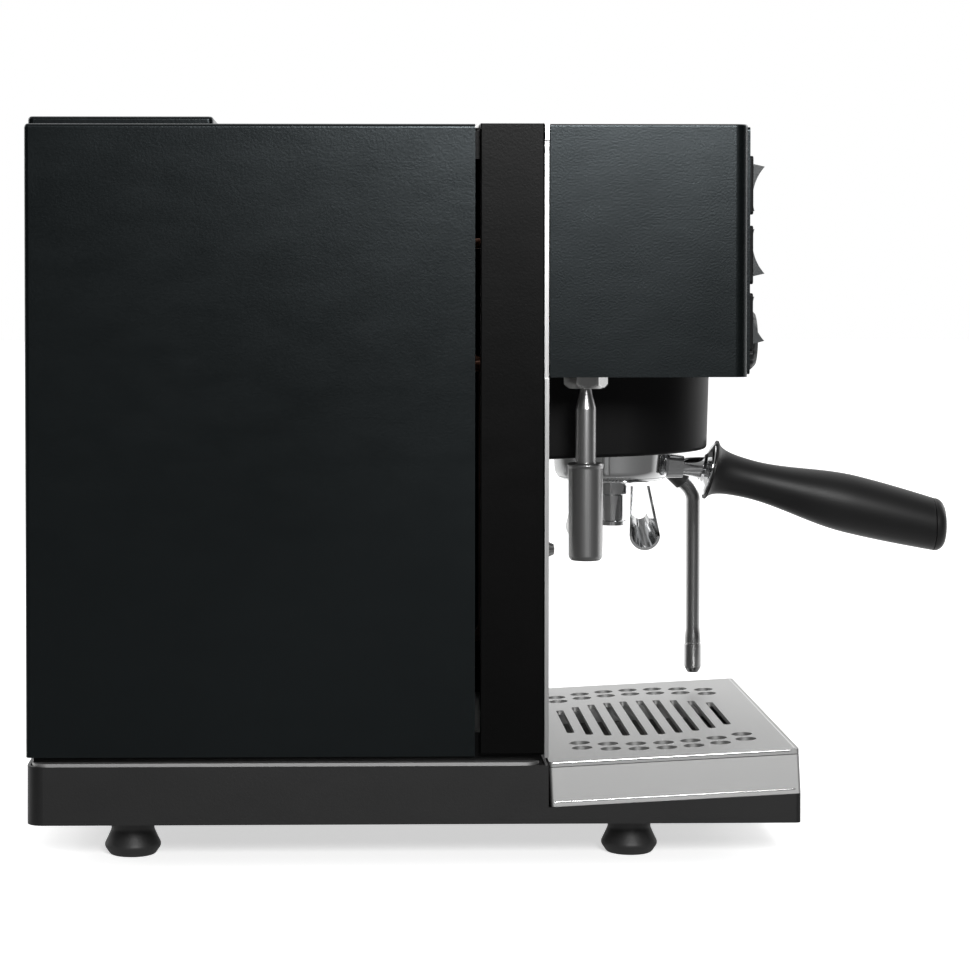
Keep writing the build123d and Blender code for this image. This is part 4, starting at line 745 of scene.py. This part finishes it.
outline = np.vstack(
    [
        bent((0.0171, 0.0008), (0.0126, 0.0026), (0.0114, 0.0100), (0.0110, 0.0220)),
        bent((0.0110, 0.0220), (0.0103, 0.0420), (0.0166, 0.0620), (0.0166, 0.0830), 40)[1:],
        bent((0.0166, 0.0830), (0.0166, 0.1050), (0.0150, 0.1280), (0.0135, 0.1500), 40)[1:],
    ]
)


def cut_upright(profile, near, far, rounding, count=72):
    """The handle between two upright planes.

    Each line along the turned shape is squeezed to end on the far plane, then closed over it
    with a rounded edge. Without a near plane, the handle starts at its square front face.
    """
    u, v, w = frame_for(handle_way)
    angle = np.arange(count) * 2 * math.pi / count
    ring = np.cos(angle)[:, None] * u + np.sin(angle)[:, None] * v
    rows = []
    heights = profile[:, 1]
    lean = ring[:, 1]

    def reach_of(plane):
        """The distance along the axis at which a line on the skin meets an upright plane."""
        reach = np.full(count, (plane - handle_start[1]) / w[1])
        for _ in range(12):
            radius = np.interp(reach, heights, profile[:, 0])
            reach = (plane - handle_start[1] - radius * lean) / w[1]
        return reach

    first = np.full(count, heights[0]) if near is None else reach_of(near)
    last = reach_of(far + rounding)
    for share in np.linspace(0, 1, len(profile)):
        reach = first + (last - first) * share
        radius = np.interp(reach, heights, profile[:, 0])
        rows.append(handle_start + reach[:, None] * w + radius[:, None] * ring)
    edge = rows[-1]
    centre = edge.mean(0)
    for turn in np.linspace(0, math.pi / 2, 9)[1:]:
        inward = 1 - rounding / end_radius * (1 - math.cos(turn))
        ringed = centre + (edge - centre) * inward
        ringed[:, 1] = edge[:, 1] - rounding * math.sin(turn)
        rows.append(ringed)
    disc = rows[-1]
    for inward in (0.8, 0.5, 0.2):
        rows.append(disc.mean(0) + (disc - disc.mean(0)) * inward)
    points = np.vstack(rows)
    faces = grid_faces(len(rows), count, False, True).tolist()
    pole = len(points)
    points = np.vstack([points, rows[-1].mean(0)])
    last_row = (len(rows) - 1) * count
    faces += [[last_row + k, last_row + (k + 1) % count, pole] for k in range(count)]
    if near is None:
        lip = handle_start + profile[0, 0] * ring
        back = len(points)
        points = np.vstack([points, lip, handle_start])
        faces += [[back + k, back + (k + 1) % count, (k + 1) % count, k] for k in range(count)]
        faces += [[back + (k + 1) % count, back + k, back + count] for k in range(count)]
    else:
        front = len(points)
        points = np.vstack([points, rows[0].mean(0)])
        faces += [[(k + 1) % count, k, front] for k in range(count)]
    return points, faces


grip_points, grip_faces = cut_upright(outline, None, cap_high.y + 0.00008, 0.0005)
grip = piece("handle_grip_moulding", grip_points, grip_faces, grip_plastic, "portafilter", angle=40)
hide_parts("handle_grip")

cap_points, cap_faces = cut_upright(outline, cap_high.y - 0.00012, cap_low.y, 0.0055)
cap = piece("handle_end_cap", cap_points, cap_faces, grip_plastic, "portafilter", angle=40)
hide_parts("handle_cap")

ferrule_line = eased(
    [
        (0, -0.0050),
        (0.0074, -0.0050),
        (0.0090, -0.0036),
        (0.0140, -0.0020),
        (0.0152, -0.0012),
        (0.0152, -0.0001),
        (0, -0.0001),
    ],
    (0.0006, 0.002, 0.003, 0.0004, 0.0002),
)
ferrule_points, ferrule_faces = turned(ferrule_line, handle_start, handle_way, 96)
ferrule = piece("handle_ferrule_dish", ferrule_points, ferrule_faces, chrome, "portafilter")
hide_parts("handle_ferrule")

# ------------------------------------------------------------------ steam knob
# A round moulded knob with sixteen finger flutes and a rim raised round its face. It is
# pressed on the valve's steel stem.

knob_low, knob_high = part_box("steam_knob")
knob_middle = middle("steam_knob")
knob_back = cad_high.y - 0.387
knob_radius = (knob_high.x - knob_low.x) / 2
length = knob_back - knob_low.y
flute_count, flute_depth = 16, 0.075
knob_line = eased(
    [
        (0, 0),
        (knob_radius - 0.0016, 0),
        (knob_radius, 0.0022),
        (knob_radius, length - 0.0034),
        (knob_radius - 0.0030, length - 0.0004),
        (knob_radius - 0.0060, length - 0.0014),
        (0, length - 0.0014),
    ],
    (0.0012, 0.0012, 0.002, 0.0012, 0.002),
)


def flutes(angle, height):
    """Sixteen shallow hollows round the rim, which fade out at the face and toward the axis."""
    hollow = np.clip(np.cos(flute_count * angle) - 0.1, 0, 1) ** 0.8
    return 1 - flute_depth * hollow * np.clip((length - 0.0018 - height) / 0.004, 0, 1)


knob_points, knob_faces = turned(
    knob_line, (knob_middle.x, knob_back, knob_middle.z), (0, -1, 0), 256, flutes
)
knob = piece("steam_knob_moulding", knob_points, knob_faces, grip_plastic, "knob", angle=40)
stem_points, stem_faces = turned(
    [(0, -0.018), (0.004, -0.018), (0.004, 0.001), (0, 0.001)],
    (knob_middle.x, knob_back, knob_middle.z),
    (0, -1, 0),
    32,
)
stem = piece("steam_knob_stem", stem_points, stem_faces, steel, "knob")
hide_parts("steam_knob")

# ------------------------------------------------------------------ rocker switches
# Three rocker switches in snap-in bezels. Their keys have hollow faces in satin plastic that
# catches a cool light along the edges.

key_plastic = Finish("key_plastic", (0.01, 0.0125, 0.0135), 0.33)
key_grain = key_plastic.noise(1600.0, 2.0)
key_cloud = key_plastic.noise(40.0, 3.0)
key_plastic.feed(
    "Base Color", key_plastic.blend(key_cloud, (0.009, 0.0115, 0.0125), (0.015, 0.018, 0.0195))
)
key_plastic.feed("Roughness", key_cloud * 0.08 + key_grain * 0.08 + 0.26)
key_plastic.relief(key_grain, 0.00004)
dress(key_plastic, "rocker_top", "rocker_middle", "rocker_bottom")

# ------------------------------------------------------------------ pressure gauge
# A round gauge in a chromed bezel: a white card with printed ticks and numbers from 0 to 4, a
# red needle, and a flat glass.

dial_card = Finish("dial_card", (0.86, 0.86, 0.84), 0.5)
card_grain = dial_card.noise(260.0, 4.0)
dial_card.feed("Base Color", dial_card.blend(card_grain, (0.8, 0.8, 0.775), (0.88, 0.88, 0.86)))
dial_card.feed("Roughness", card_grain * 0.1 + 0.45)
needle_paint = Finish("needle_paint", (0.5, 0.02, 0.015), 0.35)
needle_cloud = needle_paint.noise(300.0, 2.0)
needle_paint.feed(
    "Base Color", needle_paint.blend(needle_cloud, (0.4, 0.012, 0.01), (0.6, 0.03, 0.02))
)
clear = Finish("clear_lens", (1, 1, 1), 0.03, **{"Transmission Weight": 1.0, "IOR": 1.12})
lens_wipe = clear.noise(90.0, 3.0)
clear.feed("Roughness", lens_wipe * 0.04 + 0.01)
print_ink = Finish("print_ink", (0.01, 0.01, 0.011), 0.5)
ink_grain = print_ink.noise(800.0, 2.0)
print_ink.feed(
    "Base Color", print_ink.blend(ink_grain, (0.008, 0.008, 0.009), (0.02, 0.02, 0.021))
)
dress(chrome, "gauge_case")
dress(dial_card, "gauge_dial")
dress(needle_paint, "gauge_needle")
dress(clear, "gauge_lens")

dial = middle("gauge_dial")
dial_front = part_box("gauge_dial")[0].y
scale_start, scale_sweep = 225, 270


def plates(outlines, front, thick):
    """Thin upright plates: each four-cornered outline in X and Z, drawn forward from a plane."""
    corners = np.asarray(outlines, float)
    count = len(corners)
    points = np.zeros((count, 2, 4, 3))
    points[..., 0] = corners[:, None, :, 0]
    points[..., 2] = corners[:, None, :, 1]
    points[:, 0, :, 1], points[:, 1, :, 1] = front, front - thick
    box = [(0, 1, 2, 3), (7, 6, 5, 4), (0, 4, 5, 1), (1, 5, 6, 2), (2, 6, 7, 3), (3, 7, 4, 0)]
    faces = (np.arange(count)[:, None, None] * 8 + np.array(box)[None]).reshape(-1, 4)
    return points.reshape(-1, 3), faces


def tick(at, inner, outer, half):
    """A mark on the dial from an inner to an outer radius, square to the circle."""
    a = math.radians(at)
    way, side = np.array((math.cos(a), math.sin(a))), np.array((-math.sin(a), math.cos(a)))
    centre = np.array((dial.x, dial.z))
    corners = ((inner, -half), (outer, -half), (outer, half), (inner, half))
    return [centre + way * r + side * h for r, h in corners]


long_tick, middle_tick, short_tick = (0.0150, 0.00035), (0.0160, 0.00035), (0.0169, 0.00018)
ticks = []
for k in range(41):
    inner, half = long_tick if k % 10 == 0 else middle_tick if k % 5 == 0 else short_tick
    ticks.append(tick(scale_start - scale_sweep * k / 40, inner, 0.0182, half))
tick_points, tick_faces = plates(ticks, dial_front, 0.00012)
marks = piece("gauge_scale", tick_points, tick_faces, print_ink, "machine")


def numeral(name, text, size, place, finish, body):
    """A printed number, made a mesh and stood upright on its plane."""
    curve = bpy.data.curves.new(name, "FONT")
    curve.body, curve.size, curve.extrude = text, size, 0.00006
    curve.align_x, curve.align_y = "CENTER", "CENTER"
    made = bpy.data.objects.new(name + "_text", curve)
    scene.collection.objects.link(made)
    bpy.context.view_layer.update()
    evaluated = made.evaluated_get(bpy.context.evaluated_depsgraph_get())
    mesh = bpy.data.meshes.new_from_object(evaluated)
    bpy.data.objects.remove(made)
    mesh.transform(Matrix.Translation(place) @ Matrix.Rotation(math.pi / 2, 4, "X"))
    mesh.materials.clear()
    mesh.materials.append(finish.material)
    obj = bpy.data.objects.new(name, mesh)
    scene.collection.objects.link(obj)
    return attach(obj, body)


number_radius, number_height = 0.0122, 0.0042
for number in range(5):
    a = math.radians(scale_start - scale_sweep * number / 4)
    place = (
        dial.x + number_radius * math.cos(a),
        dial_front - 0.00008,
        dial.z + number_radius * math.sin(a),
    )
    name = f"gauge_number_{number}"
    numeral(name, str(number), number_height, place, print_ink, "machine")

# ------------------------------------------------------------------ display and buttons
# A dark glass window shows the brew temperature in lit seven-bar digits, in a plastic frame.
# Two small push buttons under it set the temperature.

dark_glass = Finish("dark_glass", (0.004, 0.004, 0.005), 0.06)
glass_wipe = dark_glass.noise(70.0, 3.0)
dark_glass.feed("Roughness", glass_wipe * 0.08 + 0.03)
dark_glass.feed(
    "Base Color", dark_glass.blend(glass_wipe, (0.003, 0.003, 0.004), (0.006, 0.006, 0.008))
)
dress(dark_glass, "display_lens")
digit_glow = Finish("digit_glow", (0.9, 0.95, 1.0), 0.4, **{"Emission Strength": 1.6})
glow_grain = digit_glow.noise(2000.0, 2.0)
digit_glow.feed(
    "Emission Color", digit_glow.blend(glow_grain, (0.75, 0.9, 1.0), (0.9, 0.97, 1.0))
)

window = middle("display_lens")
window_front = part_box("display_lens")[0].y
bars = {
    "a": (0, 2, 1, 2),
    "g": (0, 1, 1, 1),
    "d": (0, 0, 1, 0),
    "f": (0, 1, 0, 2),
    "b": (1, 1, 1, 2),
    "e": (0, 0, 0, 1),
    "c": (1, 0, 1, 1),
}
shapes = {"9": "abcdfg", "3": "abcdg"}
digit_width, digit_height, digit_pitch, bar_half, bar_gap = 0.0056, 0.0058, 0.0100, 0.00055, 0.0007
digit_bars = []
for place, digit in enumerate("93"):
    corner = np.array((window.x - 0.0098 + place * digit_pitch, window.z - digit_height))
    for bar in shapes[digit]:
        x0, z0, x1, z1 = bars[bar]
        start = np.array((x0 * digit_width, z0 * digit_height))
        stop = np.array((x1 * digit_width, z1 * digit_height))
        way = (stop - start) / np.linalg.norm(stop - start)
        side = np.array((-way[1], way[0])) * bar_half
        near, far = corner + start + way * bar_gap, corner + stop - way * bar_gap
        digit_bars.append([near - side, far - side, far + side, near + side])
degree_middle = np.array((window.x + 0.0095, window.z + 0.0046))
degree_inner, degree_outer, degree_sides = 0.0011, 0.0018, 12
for k in range(degree_sides):
    a, b = (2 * math.pi * (k + step) / degree_sides for step in (0, 1))
    corners = ((degree_inner, a), (degree_outer, a), (degree_outer, b), (degree_inner, b))
    digit_bars.append(
        [degree_middle + r * np.array((math.cos(t), math.sin(t))) for r, t in corners]
    )
digit_points, digit_faces = plates(digit_bars, window_front, 0.00008)
digits = piece("display_digits", digit_points, digit_faces, digit_glow, "machine")

# ------------------------------------------------------------------ water tank
# A clear plastic tank with faint mould clouding stands behind the boilers, under the lid.

tank_plastic = Finish(
    "tank_plastic", (0.8, 0.86, 0.9), 0.15, **{"Transmission Weight": 0.85, "IOR": 1.3}
)
tank_cloud = tank_plastic.noise(30.0, 4.0)
tank_plastic.feed(
    "Base Color", tank_plastic.blend(tank_cloud, (0.72, 0.8, 0.85), (0.86, 0.91, 0.94))
)
tank_plastic.feed("Roughness", tank_cloud * 0.15 + 0.1)
dress(tank_plastic, "water_tank")

# ------------------------------------------------------------------ boilers, pump and pipes
# Two stainless boilers, a vibration pump, solenoid valves and copper pipes fill the body.
# They show only through the louvres and the open front of the frame.

brass = polished("brass", (0.72, 0.52, 0.25), 0.3)
# Painted shade: the copper is given a dull colour far darker than bright copper, so that the pipes
# stay dark where they show through the gaps beside the columns.
copper = polished("copper", (0.24, 0.12, 0.08), 0.45)
boiler_steel = brushed("boiler_steel", (0.5, 0.5, 0.49), 0.38, (1400, 12, 1400))
dress(brass, "diffuser", "steam_valve", "valves")
dress(copper, "pipework")
dress(boiler_steel, "brew_boiler", "steam_boiler", "pump")

# ------------------------------------------------------------------ drip tray edges
# The grid's edge is rolled over into a bright bead, and the tray's lower edge is folded back,
# which shows as a second thin bead above the base. Both are part sunk in the sheet, and run
# round the sides and the front.

tray_low, tray_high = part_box("drip_tray")
grid_low, grid_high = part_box("drip_grid")
tray_pitch_ratio = 0.0513
tray_pitch = math.atan(tray_pitch_ratio)
tray_back_point = np.array((0.0, grid_high.y, grid_low.z))
run_forward = np.array((0.0, -math.cos(tray_pitch), math.sin(tray_pitch)))
stand_up = np.array((0.0, math.sin(tray_pitch), math.cos(tray_pitch)))


def edge_bead(half_width, back, front, lift, radius, corner, count=16):
    """A thin rolled bead: a circle carried round three sides in the tray's sloping plane."""
    plan = eased(
        [(-half_width, back), (-half_width, front), (half_width, front), (half_width, back)],
        (corner, corner),
        8,
    )
    along = np.gradient(plan, axis=0)
    along /= np.linalg.norm(along, axis=1)[:, None]
    outward = np.stack([-along[:, 1], along[:, 0]], -1)
    angle = np.arange(count) * 2 * math.pi / count
    across_plan = plan[:, None] + radius * np.cos(angle)[None, :, None] * outward[:, None]
    rise = lift + radius * np.sin(angle)
    points = (
        across_plan[..., :1] * np.array((1.0, 0, 0))
        + tray_back_point
        + across_plan[..., 1:] * run_forward
        + np.broadcast_to(rise[None, :, None], (len(plan), count, 1)) * stand_up
    )
    faces = grid_faces(len(plan), count, False, True).tolist()
    faces += [list(range(count))[::-1], [(len(plan) - 1) * count + k for k in range(count)]]
    return points.reshape(-1, 3), faces


grid_thickness, rolled_radius, hem_radius, hem_drop = 0.0027, 0.0010, 0.00045, 0.0188
bead_back, bead_corner = 0.002, 0.003
tray_run = (tray_high.y - tray_low.y) / math.cos(tray_pitch)
rolled_points, rolled_faces = edge_bead(
    grid_high.x - 0.0009,
    bead_back,
    tray_run - 0.0030,
    grid_thickness - 0.0009,
    rolled_radius,
    bead_corner,
)
rolled = piece("drip_grid_rolled_edge", rolled_points, rolled_faces, steel, "grid")
hem_points, hem_faces = edge_bead(
    tray_high.x - 0.00015, bead_back, tray_run - 0.0022, -hem_drop, hem_radius, bead_corner
)
hem = piece("drip_tray_hem", hem_points, hem_faces, steel, "tray")
